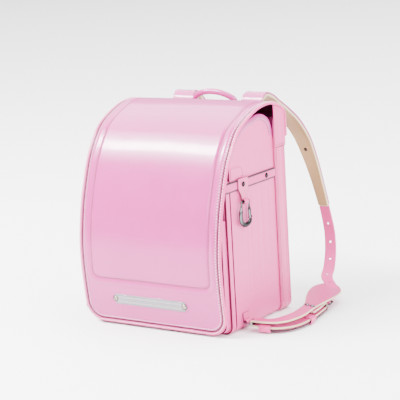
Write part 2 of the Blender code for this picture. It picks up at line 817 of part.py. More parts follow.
def make_hook(side, label):
    face = BELT_X + SIDE_BELT_LEATHER + GAP
    rings, bar_x = loop_tab_rings(side, face, TAB_Y, TAB_TOP, HOOK_BAR_Z, TAB_WIDTH, TAB_LOOP_WIDTH,
                                  TAB_LOOP_RADIUS, TAB_LEATHER)
    name = "hook_tab_" + label
    add_object(name, sweep_mesh(name, rings), leather("tab"))
    disc("tab_rivet_" + label, (side * (face + TAB_LEATHER + GAP), TAB_Y, SIDE_BELT_Z),
         (side, 0.0, 0.0), RIVET_RADIUS, RIVET_HEIGHT, metal("rivet"))

    pivot = Vector((bar_x, TAB_Y, HOOK_BAR_Z))
    raised = pivot + Vector((0.0, 0.0, HOOK_LENGTH * HOOK_WIRE[2][1]))
    path = hook_points(HOOK_WIRE, raised)
    radii = [HOOK_WIRE_RADIUS * share for _, _, share in HOOK_WIRE]
    rings = tube_rings(path, radii, 8)
    ring = add_object("hook_ring_" + label, sweep_mesh("hook_ring_" + label, rings, smooth=True),
                      metal("hook"), origin=pivot)

    points = hook_points(HOOK_GATE, raised)
    radii = [HOOK_WIRE_RADIUS * share for _, _, share in HOOK_GATE]
    rings = tube_rings(points, radii, 8)
    add_object("hook_gate_" + label, sweep_mesh("hook_gate_" + label, rings, smooth=True),
               metal("hook"), origin=points[0], parent=ring)


# Shoulder straps


def strap_route():
    """Upper part of the strap, as a smooth path on the +X side."""
    points = []
    for splay, reach, height in STRAP_ROUTE:
        points.append(Vector((STRAP_ROOT_X + STRAP_SPLAY * splay, STRAP_ROOT_Y + STRAP_REACH * reach,
                              STRAP_TOP * height)))
    return points


class LowerPath:
    """Plan line of the lower strap, measured from the ring's outer bar."""

    def __init__(self):
        ring_x = HALF_BODY + GAP + TAB_LEATHER / 2 + TAB_LOOP_RADIUS
        self.inner_bar_x = ring_x
        self.start = Vector((ring_x + RING_LENGTH, RING_Y, 0.0))
        points = [self.start + Vector((LOWER_BOW * out, LOWER_BACK * back, 0.0)) for out, back in LOWER_PLAN]
        self.points = smooth_path(points, 120)
        self.lengths = path_lengths(self.points)
        self.scale = self.lengths[-1] / LOWER_REACH

    def at(self, distance):
        return point_at(self.points, self.lengths, distance * self.scale)

    def along(self, distance):
        step = 0.003
        return (self.at(distance + step) - self.at(distance - step)).normalized()

    def outward(self, distance):
        """Across the strap, away from the bag, with the strap's tilt."""
        along = self.along(distance)
        tilt = STRAP_TILT * min(max((distance - 0.02) / 0.03, 0.0), 1.0)
        flat = Vector((along.y, -along.x, 0.0))
        return flat * cos(tilt) - Vector((0.0, 0.0, sin(tilt)))

    def point(self, distance, height, out=0.0):
        place = self.at(distance) + self.outward(distance) * out
        place.z += height
        return place


def mirrored(points, side):
    return [Vector((p.x * side, p.y, p.z)) for p in points]


def fold_points(path, distance, height, radius, start, stop, count=7):
    """Arc round a bar, turning in the upright plane along the strap."""
    points = []
    for k in range(count):
        turn = start + (stop - start) * k / (count - 1)
        points.append(path.point(distance + radius * cos(turn) / path.scale, height + radius * sin(turn)))
    return points


def holed_strap_points(path):
    """The whole narrow strap's centre line, from the belt's root to the tail's free end."""
    lower = [path.point(SLOT_PLACE, LEAF_HEIGHT + LAYER_PLAY)]
    drop = STRAP_OVER_HEIGHT - TAIL_HEIGHT
    lower.append(path.point(SLOT_PLACE - SLOT_LEAD, STRAP_OVER_HEIGHT + LAYER_PLAY))
    for share, height in BUCKLE_PASS:
        lower.append(path.point(BUCKLE_NEAR + BUCKLE_LENGTH * share, TAIL_HEIGHT + drop * height))
    distance = BUCKLE_NEAR - RETURN_STEP
    while distance > KEEPER_NEAR + TAIL_STEP / 2:
        lower.append(path.point(distance, TAIL_HEIGHT))
        distance -= TAIL_STEP
    lower.append(path.point(KEEPER_NEAR - KEEPER_LENGTH / 2, TAIL_HEIGHT))
    return strap_route() + lower


def across_of(points, path):
    """Across direction of the strap: along X at the top, and the lower strap's own below."""
    found = []
    for point in points:
        if point.z > 0.030:
            share = min(max((0.12 - point.z) / 0.09, 0.0), 1.0)
            end = path.outward(0.225)
            found.append(Vector((1.0, 0.0, 0.0)).lerp(end, share).normalized())
        else:
            found.append(None)
    nearest = [path.at(LOWER_REACH * k / 80) for k in range(81)]
    for i, point in enumerate(points):
        if found[i] is None:
            flat = Vector((point.x, point.y, 0.0))
            k = min(range(81), key=lambda n: (nearest[n] - flat).length)
            found[i] = path.outward(LOWER_REACH * k / 80)
    return found


def strap_width(distance):
    """Wide belt that narrows to the holed strap's width towards its end."""
    return BELT_WIDTH * table_value(BELT_TAPER, 1, distance / STRAP_BELT_LENGTH)


def make_strap(side, label, path):
    points = holed_strap_points(path)
    fine = smooth_path(points, 360)
    lengths = path_lengths(fine)

    belt = [point_at(fine, lengths, STRAP_BELT_LENGTH * k / 30) for k in range(31)]
    across = mirrored(across_of(belt, path), side)
    belt = mirrored(belt, side)
    widths = [strap_width(STRAP_BELT_LENGTH * k / 30) for k in range(31)]
    inner = -side
    layers = (("belt_outer_", GAP / 2, GAP / 2 + BELT_FACE, leather("belt")),
              ("belt_lining_", -GAP / 2 - BELT_LINING, -GAP / 2, material("lining", CREAM, 0.7)))
    for name, low, high, surface in layers:
        a, b = sorted((low * inner, high * inner))
        mesh = sweep_mesh(name + label, ribbon_rings(belt, across, widths, a, b), smooth=True,
                          layered=True)
        add_object(name + label, mesh, surface)

    start = STRAP_BELT_LENGTH + GAP
    rest = lengths[-1] - start
    count = 70
    narrow = [point_at(fine, lengths, start + rest * k / count) for k in range(count + 1)]
    across = across_of(narrow, path)
    widths = [STRAP_WIDTH] * len(narrow)
    widths[-1] = STRAP_WIDTH * 0.55
    half = STRAP_LEATHER / 2
    mesh = sweep_mesh("holed_strap_" + label,
                      ribbon_rings(mirrored(narrow, side), mirrored(across, side), widths, -half, half),
                      smooth=True)
    strap = add_object("holed_strap_" + label, mesh, leather("belt"))
    for k in range(HOLE_COUNT):
        place = start + HOLE_FIRST + HOLE_PITCH * k
        centre = point_at(fine, lengths, place)
        along = (point_at(fine, lengths, place + 0.001) - centre).normalized()
        facing = along.cross(Vector((1.0, 0.0, 0.0))).normalized()
        ends = mirrored([centre - facing * HOLE_CUT, centre + facing * HOLE_CUT], side)
        cut(strap, sweep_mesh("hole", tube_rings(ends, [HOLE_RADIUS] * 2, 8)))
    return strap, narrow, across


# Lower strap


def lower_belt_points(path):
    """From the riveted return over the buckle's bar, back to the ring and out along the leaf."""
    points = []
    distance = BUCKLE_NEAR - RETURN_LENGTH
    while distance < BUCKLE_NEAR - LAYER_PLAY:
        points.append((path.point(distance, RETURN_HEIGHT), distance))
        distance += RETURN_STEP
    for p in fold_points(path, BUCKLE_NEAR, BUCKLE_HEIGHT, BUCKLE_FOLD, pi / 2, -pi / 2):
        points.append((p, BUCKLE_NEAR))
    distance = BUCKLE_NEAR - LAYER_STEP
    while distance > LAYER_STEP / 2:
        points.append((path.point(distance, UNDER_HEIGHT), distance))
        distance -= LAYER_STEP
    for p in fold_points(path, 0.0, RING_HEIGHT, RING_FOLD, 1.5 * pi, pi / 2):
        points.append((p, 0.0))
    rise = LEAF_HEIGHT - RING_HEIGHT - RING_FOLD
    for k in range(1, LEAF_STEPS + 1):
        share = k / LEAF_STEPS
        distance = LOWER_REACH * share
        lift = min(share / LEAF_LIFT, 1.0)
        out = -table_value(LEAF, 2, share) * LEAF_WIDTH * min(share / LEAF[0][0], 1.0)
        height = RING_HEIGHT + RING_FOLD + rise * lift * lift * (3 - 2 * lift)
        points.append((path.point(distance, height, out), distance))
    return points


def make_lower_belt(side, label, path, strap, narrow, narrow_across):
    marked = lower_belt_points(path)
    points = [p for p, _ in marked]
    across = [path.outward(d) for _, d in marked]
    widths = []
    leaf_start = len(marked) - LEAF_STEPS
    for i, (_, d) in enumerate(marked):
        share = d / LOWER_REACH
        wide = i >= leaf_start and share > LEAF[0][0]
        widths.append(LEAF_WIDTH * table_value(LEAF, 1, share) if wide else STRAP_WIDTH)
    half = LOWER_LEATHER / 2
    name = "lower_belt_" + label
    mesh = sweep_mesh(name, ribbon_rings(mirrored(points, side), mirrored(across, side), widths, -half, half))
    belt = add_object(name, mesh, leather("lower_belt"))

    # Slot in the leaf for the holed strap
    slot = [(p, a) for p, a in zip(narrow, narrow_across)
            if abs(p.z - LEAF_HEIGHT - LOWER_LEATHER) < 3 * LOWER_LEATHER
            and p.y > path.at(BUCKLE_FAR + TAIL_STEP).y]
    clear = STRAP_LEATHER / 2 + 2 * GAP
    cut(belt, sweep_mesh("slot", ribbon_rings(mirrored([p for p, _ in slot], side),
                                              mirrored([a for _, a in slot], side),
                                              [STRAP_WIDTH + 6 * GAP] * len(slot), -clear, clear)))

    # Buckle frame round the belt's fold
    frame_path = []
    for distance, out in ((BUCKLE_NEAR, -1), (BUCKLE_NEAR, 1), (BUCKLE_FAR, 1), (BUCKLE_FAR, -1)):
        frame_path.append(path.point(distance, BUCKLE_HEIGHT, out * (BUCKLE_WIDTH / 2 - BUCKLE_WIRE)))
    loop = soften(frame_path, FRAME_CORNER)
    add_wire_loop("belt_buckle_" + label, mirrored(loop, side), BUCKLE_WIRE)

    # Prong from the near bar, through a hole of the strap, under the far bar
    prong_low = BUCKLE_HEIGHT - BUCKLE_WIRE - PRONG_RADIUS - GAP
    prong = [path.point(BUCKLE_NEAR + BUCKLE_WIRE + PRONG_RADIUS * 0.4, BUCKLE_HEIGHT),
             path.point(BUCKLE_NEAR + BUCKLE_LENGTH / 2, BUCKLE_HEIGHT - PRONG_RADIUS),
             path.point(BUCKLE_FAR - 2 * BUCKLE_WIRE, prong_low),
             path.point(BUCKLE_FAR + BUCKLE_WIRE, prong_low)]
    rings = tube_rings(mirrored(prong, side), [PRONG_RADIUS] * 4, 6, start_side=Vector((0.0, 0.0, 1.0)))
    add_object("buckle_prong_" + label, sweep_mesh("buckle_prong_" + label, rings, smooth=True),
               metal("buckle"))
    room = [path.point(BUCKLE_NEAR, BUCKLE_HEIGHT)] + prong[1:]
    for target in (belt, strap):
        rings = tube_rings(mirrored(room, side), [PRONG_RADIUS + 2 * GAP] * 4, 6,
                           start_side=Vector((0.0, 0.0, 1.0)))
        cut(target, sweep_mesh("prong_room", rings))

    for number, place in (("near", KEEPER_NEAR), ("far", KEEPER_FAR)):
        make_keeper(side, "keeper_%s_%s" % (number, label), path, place)

    for number, out in (("inner", -1), ("outer", 1)):
        shift = out * LEAF_RIVET_SPACING / 2 - LEAF_WIDTH * LEAF[0][2]
        up = path.outward(LEAF_RIVET_PLACE).cross(path.along(LEAF_RIVET_PLACE))
        centre = path.point(LEAF_RIVET_PLACE, LEAF_HEIGHT, shift) + up * (LOWER_LEATHER / 2 + GAP)
        disc("leaf_rivet_%s_%s" % (number, label), mirrored([centre], side)[0],
             mirrored([up], side)[0], RIVET_RADIUS, RIVET_HEIGHT, metal("rivet"), sides=10)

    # Ring through the belt's fold and the tab on the bag's side
    half_ring = RING_WIDTH / 2 - RING_WIRE
    corners = [Vector((x, RING_Y + y, RING_HEIGHT))
               for x, y in ((path.inner_bar_x, -half_ring), (path.start.x, -half_ring),
                            (path.start.x, half_ring), (path.inner_bar_x, half_ring))]
    add_wire_loop("belt_ring_" + label, mirrored(soften(corners, FRAME_CORNER), side), RING_WIRE)
    rings, _ = loop_tab_rings(side, HALF_BODY + GAP, RING_Y, RING_TAB_TOP, RING_HEIGHT,
                              RING_WIDTH * 0.66, RING_WIDTH * 0.6, TAB_LOOP_RADIUS, TAB_LEATHER)
    add_object("ring_tab_" + label, sweep_mesh("ring_tab_" + label, rings), leather("tab"))


def soften(corners, radius, steps=3):
    """Closed path whose corners are rounded."""
    points = []
    count = len(corners)
    for i, corner in enumerate(corners):
        before = corner + (corners[i - 1] - corner).normalized() * radius
        after = corner + (corners[(i + 1) % count] - corner).normalized() * radius
        for k in range(steps):
            t = k / (steps - 1)
            points.append(before.lerp(corner, t).lerp(corner.lerp(after, t), t))
    return points


def add_wire_loop(name, points, radius):
    rings = tube_rings(points, [radius] * len(points), 8, loop=True, start_side=Vector((0.0, 0.0, 1.0)))
    add_object(name, sweep_mesh(name, rings, loop=True, smooth=True), metal("buckle"))


def make_keeper(side, name, path, place):
    """Leather loop round the tail and the belt's under layer."""
    low = TAIL_HEIGHT - STRAP_LEATHER / 2 - KEEPER_PLAY
    high = UNDER_HEIGHT + LOWER_LEATHER / 2 + KEEPER_PLAY
    middle = (low + high) / 2
    half = (high - low) / 2
    stations = [place + KEEPER_LENGTH * (k / 4 - 0.5) for k in range(5)]
    longer = [place + KEEPER_LENGTH * 1.3 * (k / 4 - 0.5) for k in range(5)]
    width = STRAP_WIDTH + 4 * KEEPER_PLAY

    def rings(distances, extra):
        points = mirrored([path.point(d, middle) for d in distances], side)
        across = mirrored([path.outward(d) for d in distances], side)
        return ribbon_rings(points, across, [width + 2 * extra] * len(points), -half - extra, half + extra)

    keeper = add_object(name, sweep_mesh(name, rings(stations, KEEPER_WALL)), leather("keeper"))
    cut(keeper, sweep_mesh(name + "_cutter", rings(longer, 0.0)))


def main():
    for old in list(bpy.data.objects):
        bpy.data.objects.remove(old, do_unlink=True)
    profile = Profile()
    lower = LowerPath()
    make_main_compartment()
    make_back_pad()
    make_pockets()
    make_flap(profile)
    make_binding(profile)
    make_plate(profile)
    make_clasp(profile)
    make_handle()
    for side, label in ((1, "right"), (-1, "left")):
        make_side_belt(side, label)
        make_hook(side, label)
        strap, narrow, across = make_strap(side, label, lower)
        make_lower_belt(side, label, lower, strap, narrow, across)


main()
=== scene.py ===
"""Looks of a school ransel: glossy flap, bound and stitched edges, straps, hooks and studio.

Metres, +Z up, in the frame's own place. Every surface is worked out as a grid of points.
"""

import bpy
import numpy as np
from bpy.props import FloatProperty, FloatVectorProperty, IntProperty, PointerProperty
from mathutils import Matrix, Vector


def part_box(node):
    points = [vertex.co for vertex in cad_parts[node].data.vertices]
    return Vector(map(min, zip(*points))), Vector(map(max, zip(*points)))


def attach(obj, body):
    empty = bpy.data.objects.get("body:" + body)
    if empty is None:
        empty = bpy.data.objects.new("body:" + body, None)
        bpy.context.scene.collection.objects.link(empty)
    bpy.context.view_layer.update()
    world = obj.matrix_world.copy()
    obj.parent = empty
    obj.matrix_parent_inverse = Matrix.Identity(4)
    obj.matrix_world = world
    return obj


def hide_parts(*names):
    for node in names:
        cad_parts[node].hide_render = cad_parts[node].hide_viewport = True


bl_info = {
    "name": "School ransel",
    "version": (1, 0, 0),
    "blender": (4, 5, 0),
    "location": "View3D > Sidebar > Ransel",
    "description": "Builds the leather, metal and stitching of a school ransel around its frame",
    "category": "Object",
}

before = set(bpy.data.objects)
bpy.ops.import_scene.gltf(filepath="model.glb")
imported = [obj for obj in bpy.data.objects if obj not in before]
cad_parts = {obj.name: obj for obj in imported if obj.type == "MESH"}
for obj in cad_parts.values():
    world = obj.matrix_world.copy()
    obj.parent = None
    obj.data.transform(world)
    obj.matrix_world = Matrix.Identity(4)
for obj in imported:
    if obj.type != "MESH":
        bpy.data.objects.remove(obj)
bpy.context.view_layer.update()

BAG = "bag"
SIDES = ((1, "right"), (-1, "left"))
GAP = 0.0003
LIFT = 0.0001
SUNK = 0.0003
THICK_THREAD = 0.0006
THICKEST_THREAD = 0.00085


def frame_size(node, axis):
    """Extent of a frame node along an axis, in metres."""
    low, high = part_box(node)
    return high[axis] - low[axis]


def frame_low(node):
    """Lowest corner of a frame node's box."""
    return np.array(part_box(node)[0])


def frame_high(node):
    """Highest corner of a frame node's box."""
    return np.array(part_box(node)[1])


# Sizes read from the frame
HALF_BODY = frame_size("main_gusset", 0) / 2
HALF_BORDER = frame_size("back_border", 0) / 2
HALF_FLAP = frame_size("flap_binding", 0) / 2
MAIN_FRONT_Y = frame_low("main_gusset")[1]
MAIN_BACK_Y = frame_high("main_gusset")[1]
BORDER_FRONT_Y = frame_low("back_border")[1]
BACK_Y = frame_high("back_border")[1]
BORDER_TOP = frame_high("back_border")[2]

# Leather thicknesses
GUSSET_WALL = 0.0025
BORDER_WALL = 0.0030
POCKET_WALL = 0.0020
FRONT_PANEL_WALL = 0.0024
BACK_BOARD_WALL = 0.0040
POCKET_EDGE = 0.0030
POCKET_INNER_EDGE = 0.0010
SLIP_WALL = 0.0017
FLAP_LEATHER = 0.0026
STRAP_LEATHER = 0.0024
LOWER_LEATHER = 0.0030
SIDE_BELT_LEATHER = 0.0020
TAB_LEATHER = 0.0016
KEEPER_WALL = 0.0014
WALL_TUCK = 0.0006
RIM_PROUD = 0.0009
BOTTOM_RADIUS = 0.012
SLIP_RADIUS = 0.022

# Flap
FLAP_FRONT_Y = -0.115
FLAP_TOP = 0.3170
FLAP_RADIUS = 0.030
BINDING_WIDTH = 0.0035
BINDING_RISE = 0.0004
FLAP_BACK_Y = BACK_Y + GAP + FLAP_LEATHER + BINDING_RISE
RAISED_HALF = 0.103
RAISED_BOTTOM = 0.0735
RAISED_BACK = 0.298
RAISED_HEIGHT = 0.0012
RAISED_RADIUS = 0.010
PANEL_CROWN = 0.0005
PANEL_SEAM_DEPTH = 0.0008
RIDGE_HEIGHT = 0.0011
WAVE_HEIGHT = 0.00025
RIM_ROWS = (0.0031, 0.0091)
ROW_DEPTH = 0.0003
RIM_SEAM_DEPTH = 0.0007
RIM_SEAM = 0.0061
RIM_SHARE = 0.62
RIM_CORD_RADIUS = 0.00062
PANEL_SEAM = 0.0006

# Name plate
PLATE_LENGTH = 0.130
PLATE_HEIGHT = 0.015
PLATE_THICKNESS = 0.0010
PLATE_RIM = 0.0016
PLATE_RIM_DEPTH = 0.0003
PLATE_LINE_DEPTH = 0.00028
PLATE_X = -0.005
PLATE_Z = 0.042
RIVET_RADIUS = 0.0032
RIVET_HEIGHT = 0.0013

# Side belts, tabs and hooks
SIDE_BELT_WIDTH = 0.015
SIDE_BELT_Z = 0.2125
SIDE_BELT_FRONT_RUN = 0.030
CAP_LOW = 0.2490
CAP_INSET = 0.0006
CAP_PROUD = 0.0015
CAP_CORD_RADIUS = 0.0008
BORDER_SEAM = 0.0042
PATCH_LOW = 0.2215
PATCH_TOP = 0.2390
PATCH_FRONT_Y = -0.0690
PATCH_BACK_Y = -0.0380
PATCH_RADIUS = 0.010
PATCH_SEAM = 0.0018
TAB_Y = -0.044
TAB_TOP = 0.2215
TAB_WIDTH = 0.026
TAB_LOOP_WIDTH = 0.011
TAB_LOOP_RADIUS = 0.0026
HOOK_WIRE_RADIUS = 0.0019
HOOK_BAR_Z = 0.188
HOOK_LENGTH = 0.044
HOOK_DRAWN = 0.76
HOOK_HEAVY = 0.55
HOOK_WIDTH = 0.027

# Handle
HANDLE_SPAN = 0.074
HANDLE_RADIUS = 0.0033
HANDLE_PLUMP = 1.34
HANDLE_LIFT = 0.0028
HANDLE_TOP = 0.3225
HANDLE_FORWARD = 0.0145

# Shoulder straps
ANCHOR_BACK_Y = frame_high("strap_anchor")[1]
ANCHOR_BOTTOM = frame_low("strap_anchor")[2]
ANCHOR_SEAM = 0.0042
STRAP_ROOT_X = 0.062
STRAP_SPLAY = 0.080
STRAP_REACH = 0.123
STRAP_TOP = 0.3205
STRAP_BELT_LENGTH = 0.300
BELT_WIDTH = 0.038
STRAP_WIDTH = 0.018
STRAP_SEAM_INSET = 0.0034
BELT_FACE = 0.0022
BELT_LINING = 0.0038
HOLE_RADIUS = 0.0019
HOLE_PITCH = 0.0285
HOLE_COUNT = 5
HOLE_FIRST = 0.030
ROOT_SEAM_ROW = 8
LINING_INSET = 0.0019
LINING_CROWN = 0.0009
LINING_SEAM = 0.80
LINING_SEAM_DEPTH = 0.0011
LINING_EYELET = 0.205
EYELET_RADIUS = 0.0030
EYELET_HEIGHT = 0.0006

# Lower strap
TAIL_HEIGHT = 0.0053
STRAP_TILT = np.radians(10.0)
RING_Y = -0.050
RING_LENGTH = 0.0125
RING_WIRE = 0.0014
RING_TAB_TOP = 0.026
LOWER_REACH = 0.239
LOWER_BOW = 0.0515
LOWER_BACK = 0.199
KEEPER_LENGTH = 0.015
KEEPER_NEAR = 0.020
KEEPER_FAR = 0.096
KEEPER_PLAY = 0.0005
KEEPER_CORNER = 0.0006
LAYER_PLAY = 0.0008
BUCKLE_NEAR = 0.154
BUCKLE_LENGTH = 0.024
BUCKLE_WIRE = 0.0015
PRONG_RADIUS = 0.0011
FRAME_PLAY = 0.0008
FRAME_CORNER = 0.0018
LEAF_WIDTH = 0.045
LEAF_RIVET_PLACE = 0.114
RETURN_LENGTH = 0.048
SLOT_PLACE = 0.222
SLOT_LEAD = 0.017
TAIL_STEP = 0.010
LAYER_STEP = 0.012
RETURN_STEP = 0.014
LEAF_STEPS = 22
LEAF_LIFT = 0.4
LEFT_TUCK = 0.007

# Worked out from the sizes above
STRAP_ROOT_Y = ANCHOR_BACK_Y + GAP + BELT_FACE + GAP / 2
BELT_X = HALF_BODY + GAP
UNDER_HEIGHT = TAIL_HEIGHT + STRAP_LEATHER / 2 + LAYER_PLAY + LOWER_LEATHER / 2
RING_FOLD = RING_WIRE + KEEPER_PLAY + LOWER_LEATHER / 2
BUCKLE_FOLD = BUCKLE_WIRE + KEEPER_PLAY + LOWER_LEATHER / 2
RING_HEIGHT = UNDER_HEIGHT + RING_FOLD
BUCKLE_HEIGHT = UNDER_HEIGHT + BUCKLE_FOLD
RETURN_HEIGHT = BUCKLE_HEIGHT + BUCKLE_FOLD
LEAF_HEIGHT = RETURN_HEIGHT + LOWER_LEATHER + LAYER_PLAY
STRAP_OVER_HEIGHT = BUCKLE_HEIGHT + BUCKLE_WIRE + KEEPER_PLAY + STRAP_LEATHER / 2
BUCKLE_FAR = BUCKLE_NEAR + BUCKLE_LENGTH
RING_WIDTH = STRAP_WIDTH + 2 * FRAME_PLAY + 4 * RING_WIRE
BUCKLE_WIDTH = STRAP_WIDTH + 3 * FRAME_PLAY + 4 * BUCKLE_WIRE

# Flap profile. Columns: share of the run from the flap's front to its back, share of FLAP_TOP
FLAP_PROFILE = (
    (0.051, 0.010), (0.021, 0.145), (0.003, 0.284), (0.005, 0.394), (0.041, 0.536), (0.087, 0.640),
    (0.170, 0.776), (0.288, 0.886), (0.375, 0.931), (0.488, 0.965), (0.617, 0.992), (0.769, 1.000),
    (0.874, 0.987), (0.960, 0.964), (0.996, 0.936), (1.000, 0.896), (1.000, 0.826),
)

# Arched top of the side walls. Columns: share of the main compartment's run, share of ARCH_TOP
ARCH_TOP = 0.2975
ARCH = (
    (0.00, 0.800), (0.12, 0.870), (0.28, 0.926), (0.51, 0.974), (0.65, 0.999), (0.79, 0.994),
    (0.91, 0.966), (0.97, 0.925), (1.00, 0.870),
)
# Where the arch is highest, and the gaps under the flap in front of that place and behind it
ARCH_CREST = 0.65
ARCH_GAP_FRONT = 0.0017
ARCH_GAP_BACK = 0.0070

# Handle from its middle to a foot. Columns: shares of half the span, of the lean and of the rise
HANDLE_ARCH = (
    (0.00, 1.00, 1.000), (0.30, 0.97, 0.985), (0.60, 0.84, 0.935), (0.90, 0.52, 0.820),
    (1.00, 0.18, 0.640), (0.98, 0.00, 0.400), (0.97, 0.00, 0.000),
)

# Shoulder strap from its root. Columns: shares of STRAP_SPLAY, of STRAP_REACH and of STRAP_TOP
STRAP_ROUTE = (
    (0.000, 0.000, 0.832), (0.000, 0.000, 0.915), (0.005, 0.024, 0.972), (0.025, 0.106, 0.998),
    (0.050, 0.230, 0.984), (0.080, 0.350, 0.952), (0.130, 0.520, 0.905), (0.200, 0.675, 0.850),
    (0.275, 0.800, 0.780), (0.340, 0.875, 0.712), (0.450, 0.940, 0.590), (0.580, 0.985, 0.432),
    (0.690, 0.990, 0.296), (0.745, 0.950, 0.227), (0.800, 0.875, 0.172), (0.865, 0.750, 0.118),
    (0.930, 0.610, 0.082),
)

# Lower strap seen from above. Columns: shares of LOWER_BOW and of LOWER_BACK from the ring
LOWER_PLAN = (
    (0.00, 0.000), (0.24, 0.000), (0.48, 0.002), (0.72, 0.030), (0.90, 0.100), (1.00, 0.205),
    (0.97, 0.335), (0.90, 0.460), (0.81, 0.585), (0.72, 0.705), (0.62, 0.815), (0.49, 0.915),
    (0.38, 1.000),
)

# Holed strap through the buckle. Columns: share of BUCKLE_LENGTH, share of the height between levels
BUCKLE_PASS = ((1.25, 1.02), (0.92, 0.97), (0.58, 0.57), (0.21, 0.05), (-0.17, 0.00))

# Narrowing of the wide belt. Columns: share of STRAP_BELT_LENGTH, share of BELT_WIDTH
BELT_TAPER = ((0.00, 1.00), (0.16, 0.99), (0.34, 0.87), (0.48, 0.82), (0.62, 0.76), (0.76, 0.64),
              (0.88, 0.54), (1.00, 0.49))

# Leaf of the lower belt. Columns: share of LOWER_REACH, share of LEAF_WIDTH, inward shift share
LEAF = (
    (0.46, 0.400, 0.06), (0.54, 0.520, 0.09), (0.63, 0.730, 0.12), (0.73, 0.920, 0.14),
    (0.82, 1.000, 0.13), (0.89, 0.930, 0.10), (0.95, 0.700, 0.06), (0.98, 0.460, 0.03),
    (1.00, 0.160, 0.00),
)

# Snap hook and its gate. Columns: shares of HOOK_WIDTH back, HOOK_LENGTH down, HOOK_WIRE_RADIUS
HOOK_WIRE = (
    (0.345, 0.150, 0.75), (0.340, 0.070, 0.85), (0.300, 0.010, 0.74), (-0.300, 0.010, 0.74),
    (-0.370, 0.110, 0.90), (-0.440, 0.330, 1.00), (-0.480, 0.600, 1.00), (-0.420, 0.820, 1.00),
    (-0.200, 0.965, 1.00), (0.100, 0.985, 1.00), (0.340, 0.920, 1.00), (0.450, 0.830, 0.80),
)
HOOK_GATE = (
    (0.345, 0.168, 0.35), (0.352, 0.200, 0.80), (0.370, 0.400, 0.95), (0.395, 0.640, 0.85),
    (0.405, 0.680, 1.10), (0.410, 0.720, 1.30), (0.415, 0.755, 1.00), (0.418, 0.770, 0.45),
)


def length_property(name, description, default):
    return FloatProperty(name=name, description=description, default=default, unit="LENGTH")


class RanselSizes(bpy.types.PropertyGroup):
    """Sizes of the leather's finish and sewing"""

    stitch_pitch: length_property("Stitch pitch", "Distance from one stitch to the next", 0.0042)
    stitch_length: length_property("Stitch length", "Thread that shows in each stitch", 0.0029)
    thread_radius: length_property("Thread radius", "Half the thread's thickness", 0.00045)
    grain: FloatProperty(
        name="Grain", description="Number of leather grain cells in one metre", default=900.0)
    crease_depth: length_property("Crease depth", "Depth of the side walls' upright creases", 0.0012)
    rim_width: length_property("Rim width", "Width of the tape round the side walls' top", 0.0075)
    pad_swell: length_property("Pad swell", "How far the back cushion may swell in simulation", 0.0045)
    flap_stations: IntProperty(
        name="Flap stations", description="Rows of points along the flap", default=170)


def colour_property(name, description, default):
    return FloatVectorProperty(name=name, description=description, subtype="COLOR", size=3,
                               min=0.0, max=1.0, default=default)


class RanselColours(bpy.types.PropertyGroup):
    """Colours of the leathers, threads, lining and metals"""

    flap: colour_property("Flap", "Glossy leather of the flap and handle", (0.440, 0.021, 0.215))
    side: colour_property("Side", "Grained leather of the walls and pockets", (0.700, 0.066, 0.280))
    trim: colour_property("Trim", "Bound rims, border and keepers", (0.670, 0.052, 0.250))
    # Seam is the colour of painted shade: seams, hollows and inner faces darken towards it, and the dark
    # cords stand for shade
    seam: colour_property("Seam", "Sunk seams, and cords between the walls", (0.110, 0.004, 0.026))
    thread: colour_property("Thread", "Stitching", (0.720, 0.300, 0.430))
    lining: colour_property("Lining", "Lining of the straps and the cushion", (0.310, 0.180, 0.068))
    cream: colour_property("Cream edge", "Bound edges of the lining", (0.600, 0.490, 0.300))
    edge_paint: colour_property("Edge paint", "Cut edges of the narrow belts", (0.045, 0.030, 0.036))
    metal: colour_property("Metal", "Plated hooks, rings and rivets", (0.260, 0.260, 0.270))
    plate: colour_property("Plate", "Brushed plate on the flap", (0.360, 0.355, 0.370))
    floor: colour_property("Floor", "Floor under the bag", (0.970, 0.970, 0.970))


def sizes():
    """The sizes set in the panel."""
    return bpy.context.scene.ransel_sizes


def colours():
    """The colours set in the panel."""
    return bpy.context.scene.ransel_colours


# Curves and grids

def unit(vectors):
    """Vectors divided by their lengths."""
    length = np.linalg.norm(vectors, axis=-1, keepdims=True)
    return vectors / np.maximum(length, 1e-12)


def xyz(x, y, z):
    """Points from their three coordinates, each a number or an array."""
    return np.stack(np.broadcast_arrays(x, y, z), -1)


def smooth(points, count, steps=24):
    """Catmull-Rom curve through the points, read at places spaced evenly along its length.

    Each stretch is the cubic whose end slopes are half the difference of its two neighbours.
    """
    p = np.asarray(points, float)
    p = np.vstack([2 * p[0] - p[1], p, 2 * p[-1] - p[-2]])
    t = (np.arange(steps) / steps)[None, :, None]
    a, b, c, d = (p[i:len(p) - 3 + i, None, :] for i in range(4))
    fine = 0.5 * (2 * b + (c - a) * t + (2 * a - 5 * b + 4 * c - d) * t ** 2
                  + (3 * b - a - 3 * c + d) * t ** 3)
    fine = np.vstack([fine.reshape(-1, p.shape[1]), p[-2]])
    return at_length(fine, np.linspace(0, 1, count) * lengths(fine)[-1])


def lengths(points):
    """Running length along a path."""
    return np.concatenate([[0.0], np.cumsum(np.linalg.norm(np.diff(points, axis=0), axis=1))])


def at_length(points, distance):
    """Points of a path at distances along it, in line with its end stretches beyond the ends."""
    run = lengths(points)
    distance = np.asarray(distance, float)
    i = np.clip(np.searchsorted(run, distance) - 1, 0, len(points) - 2)
    share = (distance - run[i]) / np.maximum(run[i + 1] - run[i], 1e-12)
    return points[i] + (points[i + 1] - points[i]) * share[..., None]


def tangents(points, closed=False):
    """Unit direction at each point, from its two neighbours."""
    if closed:
        return unit(np.roll(points, -1, axis=0) - np.roll(points, 1, axis=0))
    return unit(np.gradient(points, axis=0))


def bump(distance, width):
    """Smooth hill that is 1 at distance 0 and 0 beyond width: half a cosine wave, squared off."""
    share = np.clip(np.abs(distance) / width, 0, 1)
    return 0.5 + 0.5 * np.cos(np.pi * share)


